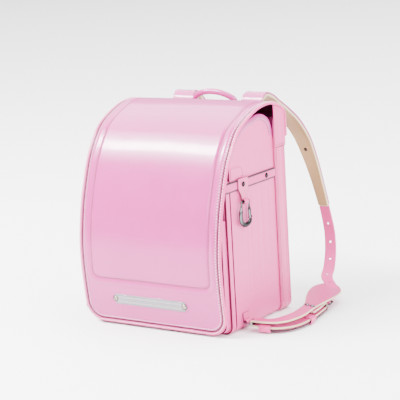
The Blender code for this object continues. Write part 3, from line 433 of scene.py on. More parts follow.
def step_up(distance, width):
    """Smooth rise from 0 to 1 as distance goes from 0 to width."""
    share = np.clip(distance / width, 0, 1)
    return share * share * (3 - 2 * share)


def rounded_box_distance(x, y, half_x, low_y, radius):
    """Distance inside a shape that is open above, from its sides, floor and round corners."""
    dx = half_x - np.abs(x)
    dy = y - low_y
    corner = radius - np.hypot(np.maximum(radius - dx, 0), np.maximum(radius - dy, 0))
    return np.where((dx < radius) & (dy < radius), corner, np.minimum(dx, dy))


def u_outline(half, floor, top, radius, rows=60, turns=10, base=40):
    """Points of an upright U and their outward directions: down the +X side, across and up the other.

    Rows are the points of each side, turns of each round corner and base of the floor.
    """
    turn = np.linspace(0, -np.pi / 2, turns)
    down = top + (floor + radius - top) * np.linspace(0, 1, rows)
    flat = np.linspace(half - radius, -half + radius, base)[1:-1]
    cos, sin = np.cos(turn), np.sin(turn)
    x = np.concatenate([np.full(rows, half), half - radius + radius * cos[1:], flat,
                        -half + radius - radius * cos[::-1][:-1], np.full(rows, -half)])
    z = np.concatenate([down, floor + radius + radius * sin[1:], np.full(len(flat), floor),
                        floor + radius + radius * sin[::-1][:-1], down[::-1]])
    out_x = np.concatenate([np.ones(rows), cos[1:], np.zeros(len(flat)),
                            -cos[::-1][:-1], -np.ones(rows)])
    out_z = np.concatenate([np.zeros(rows), sin[1:], -np.ones(len(flat)),
                            sin[::-1][:-1], np.zeros(rows)])
    return x, z, out_x, out_z


def round_bottomed(half, above, radius):
    """Half width of a panel with round lower corners, at heights above its lower edge."""
    left = np.maximum(radius - above, 0)
    return half - radius + np.sqrt(np.maximum(radius ** 2 - left ** 2, 0))


def new_piece(name, vertices, faces, material, body=BAG, stands_for=(), slot=None, attributes=None):
    """Put points and faces in a new object that rides on a body and stands for frame nodes."""
    mesh = bpy.data.meshes.new(name)
    mesh.from_pydata(np.asarray(vertices, float).tolist(), [], faces)
    mesh.update()
    for key, values in (attributes or {}).items():
        mesh.attributes.new(key, "FLOAT", "POINT").data.foreach_set("value", values.astype(np.float32))
    mesh.shade_smooth()
    mesh.materials.append(material)
    piece = bpy.data.objects.new(name, mesh)
    bpy.context.scene.collection.objects.link(piece)
    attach(piece, body)
    if stands_for:
        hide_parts(*stands_for)
    return piece


def ring_faces(rows, columns, closed=False):
    """Quads between closed rings of points, as rows that follow each other, and a cap on each end."""
    i = np.arange(rows if closed else rows - 1)[:, None]
    j = np.arange(columns)[None, :]
    following = (i + 1) % rows
    beside = (j + 1) % columns
    quads = np.stack(np.broadcast_arrays(i * columns + j, i * columns + beside,
                                         following * columns + beside, following * columns + j), -1)
    faces = quads.reshape(-1, 4).tolist()
    if not closed:
        faces += [list(range(columns))[::-1], list(range((rows - 1) * columns, rows * columns))]
    return faces


def outward_faces(vertices, faces):
    """The faces, turned round if the closed shape they make is inside out."""
    p = np.asarray(vertices)
    quads = np.array([f[:4] if len(f) > 3 else f + f[-1:] for f in faces if len(f) <= 4])
    a, b, c, d = (p[quads[:, k]] for k in range(4))
    volume = np.sum(np.cross(b - a, c - a) * (a + b + c)) + np.sum(np.cross(c - a, d - a) * (a + c + d))
    return faces if volume > 0 else [f[::-1] for f in faces]


def closed_shape(rings, closed=False):
    """Points and outward faces of a body made of rings that follow each other."""
    vertices = rings.reshape(-1, 3)
    return vertices, outward_faces(vertices, ring_faces(*rings.shape[:2], closed=closed))


# Steps of the half circle along an edge and of the quarter circle beyond an end
EDGE_TURNS = np.radians([60, 30, 0, -30, -60])
END_TURNS = np.radians([35, 65, 86])


def skin(outer, inner, extra=None, paint=None, border=0.0, inside=0.0):
    """Closed body between two grids of points, with round edges half its thickness deep.

    A section is the outer row, a half circle, the inner row backwards and another half circle.
    Beyond each end the sections go on along a quarter circle while their thickness shrinks.
    Returns the points as rings, and for each point whether it is on an edge and how much painted shade
    it gets.
    Paint scales the edge value row by row, border is its value on the face's outermost columns,
    and inside is the painted shade of the whole inner face.
    """
    paint = np.ones(len(outer)) if paint is None else paint
    paint = np.pad(paint, len(END_TURNS), mode="edge")
    middle = (outer + inner) / 2
    half = (outer - inner) / 2
    values = np.zeros(outer.shape[:2]) if extra is None else extra
    rows = [(middle, half, values, 0.0)]
    for end, before in ((0, 1), (-1, -2)):
        size = np.linalg.norm(half[end], axis=-1, keepdims=True)
        out = unit(middle[end] - middle[before]) * size
        parts = [(middle[end] + out * np.sin(turn), half[end] * np.cos(turn), values[end], np.sin(turn))
                 for turn in END_TURNS]
        rows = parts[::-1] + rows if end == 0 else rows + parts
    middle = np.concatenate([np.atleast_3d(r[0]).reshape(-1, *outer.shape[1:]) for r in rows])
    half = np.concatenate([r[1].reshape(-1, *outer.shape[1:]) for r in rows])
    values = np.concatenate([r[2].reshape(-1, outer.shape[1]) for r in rows])
    ends = np.concatenate([np.full(len(r[2].reshape(-1, outer.shape[1])), r[3]) for r in rows])
    size = np.linalg.norm(half, axis=-1, keepdims=True)
    arcs = []
    for edge, before in ((-1, -2), (0, 1)):
        out = unit(middle[:, edge] - middle[:, before]) * size[:, edge]
        turns = EDGE_TURNS if edge == -1 else -EDGE_TURNS
        arcs.append(np.stack([middle[:, edge] + half[:, edge] * np.sin(t) + out * np.cos(t)
                              for t in turns], 1))
    rings = np.concatenate([middle + half, arcs[0], (middle - half)[:, ::-1], arcs[1]], 1)
    flat = np.repeat(ends[:, None], outer.shape[1], 1)
    band = np.ones((len(ends), len(EDGE_TURNS)))
    face = flat.copy()
    face[:, [0, 1, -2, -1]] = np.maximum(face[:, [0, 1, -2, -1]], border)
    edge = np.concatenate([face, band, flat, band], 1) * paint[:, None]
    side = np.repeat(values[:, :1] * 0, len(EDGE_TURNS), 1)
    painted_shade_values = np.concatenate([values, side, values * 0 + inside, side], 1)
    return rings, edge, painted_shade_values


def add_skin(name, outer, inner, material, painted_shade_values=None, paint=None, border=0.0, inside=0.0, **kind):
    """A piece made by skin from two grids, with its edge values and its painted shade values as
    attributes.
    """
    rings, edge, painted_shade = skin(outer, inner, painted_shade_values, paint, border, inside)
    return new_piece(name, *closed_shape(rings), material,
                     attributes={"edge": edge.ravel(), "painted_shade": painted_shade.ravel()}, **kind)


def strip_grids(path, across, width, low, high, columns=9, crown=0.0):
    """Outer and inner grids of a flat strip carried along a path.

    A point is the path plus across times its place in the width plus the face direction times its
    height. The outer height rises by crown in the middle, as one minus the place squared.
    """
    along = tangents(path)
    across = unit(across - along * np.sum(across * along, -1, keepdims=True))
    face = np.cross(along, across)
    inset = (high - low) / 2
    place = np.linspace(-1, 1, columns)
    half = (np.broadcast_to(width, len(path)) / 2 - inset)[:, None, None]
    flat = path[:, None, :] + across[:, None, :] * place[None, :, None] * half
    rise = crown * (1 - place ** 2)
    outer = flat + face[:, None, :] * (high + rise)[None, :, None]
    inner = flat + face[:, None, :] * low
    return outer, inner, face


def tube(path, radii, sides=20, closed=False, start=(1.0, 0.0, 0.0), squash=(1.0, 1.0)):
    """Rings of an ellipse carried along a path without twisting, in a fixed plane's directions."""
    path = np.asarray(path, float)
    along = tangents(path, closed)
    side = np.empty_like(path)
    current = np.array(start, float)
    for i, direction in enumerate(along):
        current = unit(current - direction * (current @ direction))
        side[i] = current
    other = np.cross(along, side)
    turn = np.linspace(0, 2 * np.pi, sides, endpoint=False)
    radii = np.broadcast_to(radii, len(path))[:, None, None]
    return path[:, None, :] + radii * (side[:, None, :] * (np.cos(turn) * squash[0])[None, :, None]
                                       + other[:, None, :] * (np.sin(turn) * squash[1])[None, :, None])


def add_tube(name, path, radii, material, closed=False, **options):
    """A piece made by tube, closed into a ring or capped at its ends."""
    kind = {key: options.pop(key) for key in ("body", "stands_for", "slot") if key in options}
    rings = tube(path, radii, closed=closed, **options)
    return new_piece(name, *closed_shape(rings, closed), material, **kind)


def rounded_ends(path, radius, steps=4):
    """The path with a few more points at each end, and radii that close as a quarter circle."""
    turn = np.linspace(0, np.pi / 2, steps + 1)[1:]
    along = tangents(path)
    radii = np.broadcast_to(radius, len(path))
    first = path[0] - along[0] * (np.sin(turn) * radii[0])[:, None]
    last = path[-1] + along[-1] * (np.sin(turn) * radii[-1])[:, None]
    shrink = np.maximum(np.cos(turn), 0.06)
    return (np.vstack([first[::-1], path, last]),
            np.concatenate([radii[0] * shrink[::-1], radii, radii[-1] * shrink]))


def facing(path, direction):
    """A seam: its path, and one direction that its leather faces all along."""
    return path, np.tile(np.asarray(direction, float), (len(path), 1))


def stitch_arrays(path, normals, radius):
    """Stitches along a path: short threads whose ends dip into the leather.

    Each stitch is a six-sided tube of five rings. The thread's height above the path is half its
    thickness times one minus the fourth power of its place, so it rises out and goes back in.
    """
    run = lengths(path)
    count = max(int(run[-1] / sizes().stitch_pitch), 1)
    centres = (np.arange(count) + 0.5) * run[-1] / count
    place = np.array([-1.0, -0.7, 0.0, 0.7, 1.0])
    where = centres[:, None] + place[None, :] * sizes().stitch_length / 2
    points = at_length(path, where.ravel()).reshape(count, 5, 3)
    up = np.stack([np.interp(where.ravel(), run, normals[:, k]) for k in range(3)], -1)
    up = unit(up).reshape(count, 5, 3)
    along = unit(points[:, -1:] - points[:, :1])
    side = np.cross(along, up)
    height = radius * (0.75 - 1.5 * np.abs(place) ** 4)
    thick = radius * np.array([0.45, 0.9, 1.0, 0.9, 0.45])
    turn = np.linspace(0, 2 * np.pi, 6, endpoint=False)
    points = points + up * height[None, :, None]
    rings = (points[:, :, None, :]
             + side[:, :, None, :] * (thick[:, None] * np.cos(turn))[None, :, :, None]
             + up[:, :, None, :] * (thick[:, None] * np.sin(turn))[None, :, :, None])
    return rings


def add_stitches(name, seams, material, slot="pink_leather", radius=None):
    """One piece with the stitches of several seams, each a path and its normals."""
    stitches = np.concatenate([stitch_arrays(path, normals, radius or sizes().thread_radius)
                               for path, normals in seams])
    points = stitches.reshape(-1, 3)
    each = len(points) // len(stitches)
    one = ring_faces(*stitches.shape[1:3])
    faces = [[corner + start for corner in face]
             for start in range(0, len(points), each) for face in one]
    return new_piece(name, points, outward_faces(points, faces), material, slot=slot)


# Materials

class Nodes:
    """Short way to add linked shader nodes to a material."""

    def __init__(self, name, colour, roughness, metallic=0.0, coat=0.0, coat_roughness=0.1, sheen=0.0,
                 specular=0.5):
        self.material = bpy.data.materials.new(name)
        self.material.use_nodes = True
        self.tree = self.material.node_tree
        self.shader = self.tree.nodes["Principled BSDF"]
        self.fill(self.shader, {
            "Base Color": (*colour, 1.0), "Roughness": roughness, "Metallic": metallic,
            "Coat Weight": coat, "Coat Roughness": coat_roughness, "Sheen Weight": sheen,
            "Specular IOR Level": specular})
        self.place = self.tree.nodes.new("ShaderNodeTexCoord").outputs["Object"]

    def fill(self, node, values):
        """Give a node's sockets their values, each a link from another socket or a plain value."""
        for key, value in values.items():
            if isinstance(value, bpy.types.NodeSocket):
                self.tree.links.new(value, node.inputs[key])
            else:
                node.inputs[key].default_value = value

    def made(self, kind, values):
        node = self.tree.nodes.new("ShaderNode" + kind)
        self.fill(node, values)
        return node

    def mapped(self, scale):
        return self.made("Mapping", {"Scale": scale, "Vector": self.place}).outputs["Vector"]

    def noise(self, scale, detail=3.0, vector=None):
        values = {"Scale": scale, "Detail": detail, "Vector": vector or self.place}
        return self.made("TexNoise", values).outputs["Fac"]

    def cells(self, scale):
        node = self.made("TexVoronoi", {"Vector": self.place})
        node.feature = "SMOOTH_F1"
        node.inputs["Scale"].default_value = scale
        return node.outputs["Distance"]

    def attribute(self, name):
        node = self.made("Attribute", {})
        node.attribute_name = name
        return node.outputs["Fac"]

    def ranged(self, value, low, high, to_low, to_high):
        """A value moved from one range to another and kept inside it."""
        return self.made("MapRange", {"Value": value, "From Min": low, "From Max": high,
                                      "To Min": to_low, "To Max": to_high}).outputs["Result"]

    def mixed(self, factor, first, second):
        """A colour between two others, each a socket or a plain colour."""
        node = self.made("Mix", {"Factor": factor})
        node.data_type = "RGBA"
        first, second = (value if isinstance(value, bpy.types.NodeSocket) else (*value, 1.0)
                         for value in (first, second))
        self.fill(node, {6: first, 7: second})
        return node.outputs[2]

    def bumped(self, height, distance, strength=1.0, normal=None):
        values = {"Distance": distance, "Strength": strength, "Height": height}
        if normal:
            values["Normal"] = normal
        return self.made("Bump", values).outputs["Normal"]

    def set(self, key, socket):
        self.fill(self.shader, {key: socket})


def tinted(colour, share):
    """Colour made darker below 1 and lighter above it."""
    return tuple(min(c * share, 1.0) for c in colour)


def leather(name, colour, roughness, coat, grain_depth, edge=None, specular=0.5):
    """Synthetic leather: soft colour drift, fine grain, painted shade in seams and hollows, and its cut
    edges.
    """
    found = bpy.data.materials.get(name)
    if found:
        return found
    n = Nodes(name, colour, roughness, coat=coat, coat_roughness=0.12, specular=specular)
    drift = n.ranged(n.noise(9.0), 0.35, 0.65, 0.0, 1.0)
    base = n.mixed(drift, tinted(colour, 0.965), tinted(colour, 1.02))
    pores = n.cells(sizes().grain)
    base = n.mixed(n.ranged(pores, 0.0, 0.9, 0.12, 0.0), base, tinted(colour, 0.80))
    # Painted shade: seams, hollows and inner faces are mixed towards the dark seam colour
    base = n.mixed(n.attribute("painted_shade"), base, tuple(colours().seam))
    if edge:
        base = n.mixed(n.ranged(n.attribute("edge"), 0.35, 0.75, 0.0, 1.0), base, tuple(edge))
    else:
        worn = n.ranged(n.attribute("edge"), 0.0, 1.0, 0.0, 0.35)
        base = n.mixed(worn, base, tinted(colour, 0.72))
    n.set("Base Color", base)
    rough = n.ranged(n.noise(60.0, 4.0), 0.3, 0.7, roughness * 0.88, roughness * 1.14)
    n.set("Roughness", rough)
    wave = n.bumped(n.noise(38.0, 2.0), 0.0004, 0.25)
    n.set("Normal", n.bumped(pores, grain_depth, 0.6, wave))
    return n.material


def flap_leather():
    return leather("flap_leather_look", tuple(colours().flap), 0.34, 0.50, 0.00002)


def side_leather():
    return leather("wall_leather", tuple(colours().side), 0.46, 0.06, 0.00007)


def trim_leather():
    return leather("trim_leather", tuple(colours().trim), 0.40, 0.10, 0.00006)


def belt_leather():
    return leather("belt_leather", tinted(tuple(colours().side), 0.90), 0.42, 0.03, 0.00005,
                   tinted(tuple(colours().edge_paint), 0.5), specular=0.2)


def lower_leather():
    return leather("lower_leather", tinted(tuple(colours().trim), 0.78), 0.36, 0.15, 0.00005,
                   tuple(colours().cream))


def tab_leather():
    # Its cut edges take the dark seam colour, painted shade for the gaps beside the tabs
    return leather("tab_leather", tuple(colours().trim), 0.36, 0.20, 0.00005, tuple(colours().seam))


def shade_cord_paint():
    # Dark paint for the cords laid in corners and sunk seams, where it stands for shade
    return leather("shade_cord_paint", tinted(tuple(colours().seam), 0.80), 0.60, 0.0, 0.00003, specular=0.1)


def thread(name="thread", colour=None):
    """Twisted sewing thread: fine slanting bands along each stitch."""
    found = bpy.data.materials.get(name)
    if found:
        return found
    colour = tuple(colour or colours().thread)
    n = Nodes(name, colour, 0.6, sheen=0.2)
    twist = n.noise(3200.0, 1.0)
    n.set("Base Color", n.mixed(twist, tinted(colour, 0.75), tinted(colour, 1.1)))
    n.set("Normal", n.bumped(twist, 0.00008, 0.6))
    return n.material


def rose_thread():
    return thread("rose_thread", (0.36, 0.04, 0.14))


def pale_thread():
    return thread("pale_thread", (0.86, 0.40, 0.60))


def lining_cloth():
    """Soft napped lining: short fibres, light pores in rows and a slight mottle."""
    found = bpy.data.materials.get("lining_cloth")
    if found:
        return found
    colour = tuple(colours().lining)
    n = Nodes("lining_cloth", colour, 0.82, sheen=0.35)
    mottle = n.ranged(n.noise(28.0, 4.0), 0.3, 0.7, 0.0, 1.0)
    base = n.mixed(mottle, tinted(colour, 0.93), tinted(colour, 1.05))
    base = n.mixed(n.ranged(n.attribute("edge"), 0.2, 0.8, 0.0, 1.0), base, tuple(colours().cream))
    # Painted shade in the sewn lines and the pressed channels
    base = n.mixed(n.attribute("painted_shade"), base, tinted(colour, 0.62))
    n.set("Base Color", base)
    nap = n.noise(1500.0, 3.0)
    n.set("Normal", n.bumped(nap, 0.00016, 0.7, n.bumped(n.cells(420.0), 0.00012, 0.5)))
    return n.material


def metal(name, colour, roughness, brushed=False, turn=(0.25, 0.85), rim=0.08):
    """Plated metal with faint smudges, or with lines brushed along X, with painted shade in its hollows
    and where it turns away.
    """
    found = bpy.data.materials.get(name)
    if found:
        return found
    n = Nodes(name, colour, roughness, metallic=1.0)
    if brushed:
        lines = n.noise(1.0, 3.0, n.mapped((30.0, 5000.0, 5000.0)))
        n.set("Normal", n.bumped(lines, 0.00003, 0.5))
        base = n.mixed(lines, tinted(colour, 0.72), tinted(colour, 1.12))
    else:
        base = n.mixed(n.noise(160.0, 4.0), tinted(colour, 0.9), tinted(colour, 1.08))
    # Painted shade in dimples, under rims and in pressed lines
    base = n.mixed(n.attribute("painted_shade"), base, tinted(colour, 0.10))
    # Painted shade where the surface turns away from the view, standing in for dark reflections; rim is
    # the colour share there
    turned = n.made("LayerWeight", {"Blend": 0.5}).outputs["Facing"]
    n.set("Base Color", n.mixed(n.ranged(turned, *turn, 0.0, 0.95), base, tinted(colour, rim)))
    n.set("Roughness", n.ranged(n.noise(420.0, 4.0), 0.3, 0.7, roughness * 0.7, roughness * 1.4))
    return n.material


def plated():
    return metal("plated_metal", tuple(colours().metal), 0.16)


def dark_metal():
    # Strong painted shade along the wire's turned-away sides
    return metal("dark_plated_metal", tinted(tuple(colours().metal), 0.55), 0.10,
                 turn=(0.12, 0.42), rim=0.02)


def rivet_metal():
    return metal("rivet_metal", tinted(tuple(colours().metal), 0.16), 0.14, turn=(0.10, 0.50), rim=0.05)


def bright_metal():
    return metal("bright_plated_metal", (0.50, 0.44, 0.36), 0.20, turn=(0.15, 0.50), rim=0.02)


# Flap

class Profile:
    """The flap's outer line in YZ, measured from its lower edge."""

    def __init__(self):
        run = FLAP_BACK_Y - FLAP_FRONT_Y
        table = np.array(FLAP_PROFILE)
        rough = xyz(0.0, FLAP_FRONT_Y + run * table[:, 0], FLAP_TOP * table[:, 1])
        coarse = smooth(rough, 56)
        self.points = smooth(coarse, 900, 16)
        self.length = lengths(self.points)[-1]
        self.run = lengths(self.points)
        self.slope = tangents(self.points)

    def at(self, distance):
        return at_length(self.points, distance)

    def along(self, distance):
        slope = np.stack([np.interp(distance, self.run, self.slope[:, k]) for k in range(3)], -1)
        return unit(slope)

    def outward(self, distance):
        along = self.along(distance)
        return xyz(0.0, -along[..., 2], along[..., 1])

    def point(self, x, distance, rise=0.0):
        """The place on the profile, moved sideways by x and outwards by rise."""
        made = self.at(distance) + self.outward(distance) * np.asarray(rise)[..., None]
        made[..., 0] += x
        return made

    def at_height(self, height, back=False):
        above = np.nonzero(self.points[:, 2] >= height)[0]
        return self.run[above[-1] if back else above[0]]


FLAP_LINE = Profile()


def flap_relief(profile, x, s):
    """Height of the flap's face over its profile, and the painted shade of the seams it lies in.

    From the rim inwards: a sunk seam, a flat with stitches, a soft rounded ridge, a sewn furrow
    and the padded panel, which rises by a smooth step and crowns slightly to its middle.
    """
    start = profile.at_height(RAISED_BOTTOM)
    stop = profile.at_height(RAISED_BACK, back=True)
    rim = rounded_box_distance(x, s, HALF_FLAP, 0.0, FLAP_RADIUS)
    panel = rounded_box_distance(x, s, RAISED_HALF, start, RAISED_RADIUS)
    panel = np.minimum(panel, stop - s)
    rise = RAISED_HEIGHT * step_up(panel, 0.0035) + PANEL_CROWN * step_up(panel, 0.05)
    ridge = RIDGE_HEIGHT * bump(-panel - 0.0072, 0.0060) * step_up(rim - 0.009, 0.004)
    sewn = bump(panel + 0.0006, 0.0015)
    seam = bump(rim - RIM_SEAM, 0.0023)
    row = bump(rim - RIM_ROWS[1], 0.0014)
    wave = WAVE_HEIGHT * np.sin(x * 31.0 + 1.0) * np.sin(s * 23.0) * step_up(panel, 0.03)
    height = rise + ridge - PANEL_SEAM_DEPTH * sewn - RIM_SEAM_DEPTH * seam - ROW_DEPTH * row + wave
    # Painted shade in the sunk seams and the inner stitch row
    painted_shade = np.clip(0.75 * sewn + 1.3 * seam + 0.7 * row, 0, 1)
    return height, painted_shade


def build_flap(profile):
    """The flap's sheet with its raised panel, as one grid from hem to back edge."""
    inset = BINDING_WIDTH * 0.6
    rows = sizes().flap_stations
    dense = np.linspace(0, 1, 33)
    start = profile.at_height(RAISED_BOTTOM)
    s = np.unique(np.concatenate([inset + (FLAP_RADIUS * 1.1) * dense ** 1.5,
                                  np.linspace(start - 0.017, start + 0.006, 34),
                                  np.linspace(inset, profile.length - 0.0005, rows)]))
    border = np.unique(np.concatenate([np.linspace(RAISED_HALF - 0.005, HALF_FLAP - inset, 52),
                                       np.linspace(0, RAISED_HALF - 0.005, 18)]))
    across = np.concatenate([-border[:0:-1], border]) / (HALF_FLAP - inset)
    half = round_bottomed(HALF_FLAP - inset, s - inset, FLAP_RADIUS - inset)
    half = np.maximum(half, HALF_FLAP - FLAP_RADIUS)
    x = across[None, :] * half[:, None]
    grid_s = np.broadcast_to(s[:, None], x.shape)
    height, painted_shade = flap_relief(profile, x, grid_s)
    outer = profile.point(x, grid_s, height)
    inner = profile.point(x, grid_s, -FLAP_LEATHER)
    # The inner face is painted nearly all in the seam colour, as shade under the flap
    add_skin("flap_face", outer, inner, flap_leather(), painted_shade_values=painted_shade, inside=0.9, slot="pink_leather",
             stands_for=("flap", "flap_panel"))


def rim_path(profile, inset):
    """Path at an inset from the flap's rim: up one side, round the lower edge and up the other.

    Gives the sideways place, the distance along the profile and the outward direction in the sheet.
    """
    x, s, out_x, out_s = u_outline(HALF_FLAP - inset, inset, profile.length - 0.0006,
                                   FLAP_RADIUS - inset, 140, 24, 84)
    return -x, s, np.stack([-out_x, out_s], 1)


def build_binding(profile):
    """Rim whose section is a squared-off ellipse that wraps the flap's edge."""
    x, s, out = rim_path(profile, BINDING_WIDTH * RIM_SHARE)
    centre = profile.point(x, s, -FLAP_LEATHER / 2 + LIFT)
    sideways = np.zeros((len(x), 3))
    sideways[:, 0] = out[:, 0]
    sideways += profile.along(s) * out[:, 1:]
    rise = profile.outward(s)
    turn = np.linspace(0, 2 * np.pi, 24, endpoint=False)
    a = np.sign(np.cos(turn)) * np.abs(np.cos(turn)) ** 0.75 * BINDING_WIDTH * RIM_SHARE
    b = np.sign(np.sin(turn)) * np.abs(np.sin(turn)) ** 0.75 * (FLAP_LEATHER / 2 + BINDING_RISE)
    puckers = 1 + 0.05 * np.sin(lengths(centre) * 520.0)[:, None, None]
    rings = (centre[:, None, :] + sideways[:, None, :] * a[None, :, None]
             + rise[:, None, :] * b[None, :, None] * puckers)
    new_piece("flap_rim", *closed_shape(rings), trim_leather(), slot="pink_leather",
              stands_for=("flap_binding",))


def build_flap_stitches(profile):
    """Rows along the rim, the dark cord between them that stands for the shade in the sunk seam, and the
    row round the panel.
    """
    seams = []
    for inset in RIM_ROWS:
        x, s, _ = rim_path(profile, inset)
        height, _ = flap_relief(profile, x, s)
        rise = np.maximum(height, BINDING_RISE + LIFT) if inset < BINDING_WIDTH else height
        seams.append((profile.point(x, s, rise), profile.outward(s)))
    add_stitches("flap_rim_stitches", seams, pale_thread(), radius=THICKEST_THREAD)
    x, s, _ = rim_path(profile, RIM_SEAM)
    height, _ = flap_relief(profile, x, s)
    add_tube("flap_shade_cord", profile.point(x, s, height + LIFT), RIM_CORD_RADIUS, shade_cord_paint(),
             sides=10, slot="rose_leather")
    x, s, _, _ = u_outline(RAISED_HALF + PANEL_SEAM, profile.at_height(RAISED_BOTTOM) - PANEL_SEAM,
                           profile.at_height(RAISED_BACK, back=True), RAISED_RADIUS, 150, 10, 60)
    height, _ = flap_relief(profile, -x, s)
    seam = (profile.point(-x, s, height + LIFT), profile.outward(s))
    add_stitches("flap_panel_stitches", [seam], rose_thread(), radius=THICK_THREAD)


# Rivet head from its axis underneath to its dimple. Columns: shares of the radius and of the height
RIVET_PROFILE = (
    (0.02, 0.00), (0.96, 0.00), (1.00, 0.12), (0.97, 0.26), (0.80, 0.34), (0.76, 0.50),
    (0.66, 0.80), (0.48, 0.98), (0.34, 1.00), (0.26, 0.90), (0.12, 0.84), (0.02, 0.83),
)
RIVET_SHADE = np.array([1.0, 1.0, 0.9, 0.8, 1.0, 0.6, 0.1, 0.0, 0.0, 0.3, 0.5, 0.6])


def rivet_rings(centre, direction, radius, height, sides=40):
    """A turned rivet head: a flat rim, a rounded dome and a shallow dimple in its middle."""
    axis = unit(np.asarray(direction, float))
    side = unit(np.cross(axis, [0.0, 0.0, 1.0] if abs(axis[2]) < 0.9 else [0.0, 1.0, 0.0]))
    other = np.cross(axis, side)
    out, up = (np.array(RIVET_PROFILE) * (radius, height)).T[:, :, None, None]
    turn = np.linspace(0, 2 * np.pi, sides, endpoint=False)
    circle = side[None, :] * np.cos(turn)[:, None] + other[None, :] * np.sin(turn)[:, None]
    return np.asarray(centre) + circle[None] * out + axis * up


def add_rivet_head(name, centre, axis, radius, height, material, stands_for=()):
    """A piece made by rivet_rings, darker in its dimple and under its rim."""
    rings = rivet_rings(centre, axis, radius, height)
    new_piece(name, *closed_shape(rings), material, slot="chrome", stands_for=stands_for,
              attributes={"painted_shade": np.repeat(RIVET_SHADE, rings.shape[1])})


def add_rivet(name, node, direction, material, grow=1.22):
    """Rivet in the place of a frame node that points in a direction, a little larger than its stub."""
    axis = unit(np.asarray(direction, float))
    base = (frame_low(node) + frame_high(node)) / 2 - axis * RIVET_HEIGHT / 2
    add_rivet_head(name, base, axis, RIVET_RADIUS * grow, RIVET_HEIGHT * 1.2, material, (node,))


def build_plate(profile):
    """Long plate with round ends. Its face is flat with a raised rim and a pressed line inside."""
    middle = profile.at_height(PLATE_Z)
    u = np.linspace(-1, 1, 150)
    v = np.linspace(-1, 1, 31)
    half_x = PLATE_LENGTH / 2
    half_s = PLATE_HEIGHT / 2
    x = u * half_x
    end = np.maximum(np.abs(x) - (half_x - half_s), 0) / half_s
    tall = half_s * np.maximum(1 - end ** 4, 0.30)
    s = v[None, :] * tall[:, None]
    grid_x = np.broadcast_to(x[:, None], s.shape)
    inside = np.minimum(half_x - np.abs(grid_x), tall[:, None] - np.abs(s))
    frame_line = bump(inside - PLATE_RIM, 0.0008) * PLATE_RIM_DEPTH
    pressed = (np.abs(grid_x) < half_x * 0.82) * bump(np.abs(s) - 0.0012, 0.0007)
    rise = (GAP + PLATE_THICKNESS - frame_line - pressed * PLATE_LINE_DEPTH
            - 0.0004 * (1 - step_up(inside, 0.001)))
    outer = profile.point(PLATE_X + grid_x, middle + s, rise)
    inner = profile.point(PLATE_X + grid_x, middle + s, GAP)
    # Painted shade in the rim line, the pressed line and round the outer edge
    lines = np.clip(0.6 * bump(inside - PLATE_RIM, 0.0009) + 0.7 * pressed
                    + 0.5 * bump(inside, 0.0006), 0, 1)
    add_skin("flap_plate", outer, inner, metal("brushed_plate", tuple(colours().plate), 0.30, True),
             painted_shade_values=lines, stands_for=("name_plate",), slot="silver_plate")
    direction = profile.outward(np.array([middle]))[0]
    for _, label in SIDES:
        add_rivet("flap_plate_rivet_" + label, "plate_rivet_" + label, direction, bright_metal(), 1.45)


# Main compartment and back

def under_flap(y):
    """Height of the flap's underside over a place between the front and the back."""
    upper = FLAP_LINE.points[FLAP_LINE.points[:, 2] > 0.2]
    upper = upper[:np.argmax(upper[:, 1]) + 1]
    return np.interp(y, upper[:, 1], upper[:, 2]) - FLAP_LEATHER


def arch_height(y):
    """Height of a side wall's arched top: close under the flap in front, rounded down behind."""
    share = (y - MAIN_FRONT_Y) / (MAIN_BACK_Y - MAIN_FRONT_Y)
    curve = smooth(np.array(ARCH), 160)
    behind = np.interp(share, curve[:, 0], curve[:, 1]) * ARCH_TOP
    crest = MAIN_FRONT_Y + ARCH_CREST * (MAIN_BACK_Y - MAIN_FRONT_Y)
    lift = under_flap(crest) - ARCH_GAP_FRONT - ARCH_GAP_BACK - ARCH_TOP
    steep = 1 + 1.2 * step_up(0.5 - share, 0.5)
    before = (under_flap(y) - ARCH_GAP_FRONT * steep
              - ARCH_GAP_BACK * step_up(share - 0.25, ARCH_CREST - 0.25))
    return np.where(share < ARCH_CREST, before, behind + lift)


# Place along Y, width and share of the crease depth
CREASES = ((-0.034, 0.004, 0.8), (-0.023, 0.006, 1.0), (-0.006, 0.005, 0.6), (0.008, 0.007, 0.8),
           (0.026, 0.006, 0.5))


def side_creases(y, z):
    """Depth of the side wall's creases: a few upright ones that fade out below the side belt."""
    depth = np.zeros(np.broadcast(y, z).shape)
    for place, width, share in CREASES:
        depth = depth + share * bump(y - place - 0.01 * (0.2 - z) * np.sin(place * 90.0), width)
    fade = step_up(0.205 - z, 0.03) * step_up(z - 0.02, 0.12)
    return depth * fade * sizes().crease_depth


def wall_grids(ys, outline, wall, sunk):
    """Outer and inner grids of a U of leather: an outline at each place along Y, less what is sunk.

    The inner point is the outline moved inwards by the wall's thickness.
    """
    outer = []
    inner = []
    for place, (x, z, out_x, out_z), depth in zip(ys, outline, sunk):
        outer.append(xyz(x - out_x * depth, place, z))
        inner.append(xyz(x - out_x * wall, place, z - out_z * wall))
    return np.array(outer), np.array(inner)


def build_gusset():
    """Side walls and bottom in one wall, with an arched top, creases, a line of painted shade under the
    rim tape and painted shade over the inner face.
    """
    ys = np.linspace(MAIN_FRONT_Y + GUSSET_WALL / 2, MAIN_BACK_Y + WALL_TUCK, 90)
    outlines = [u_outline(HALF_BODY, 0.0, arch_height(y) - GUSSET_WALL / 2, BOTTOM_RADIUS) for y in ys]
    depths = [side_creases(y, z) * np.abs(out_x) for y, (_, z, out_x, _) in zip(ys, outlines)]
    outer, inner = wall_grids(ys, outlines, GUSSET_WALL, depths)
    # Painted shade: a dark line just below the rim tape's lower edge, and the inner face darkened all
    # over
    shade_under_rim_tape = [0.45 * bump(arch_height(y) - z - sizes().rim_width - 0.0006, 0.0009) * np.abs(out_x)
            for y, (_, z, out_x, _) in zip(ys, outlines)]
    add_skin("side_walls", outer, inner, side_leather(), painted_shade_values=np.array(shade_under_rim_tape), inside=0.9,
             slot="side_leather", stands_for=("main_gusset",))


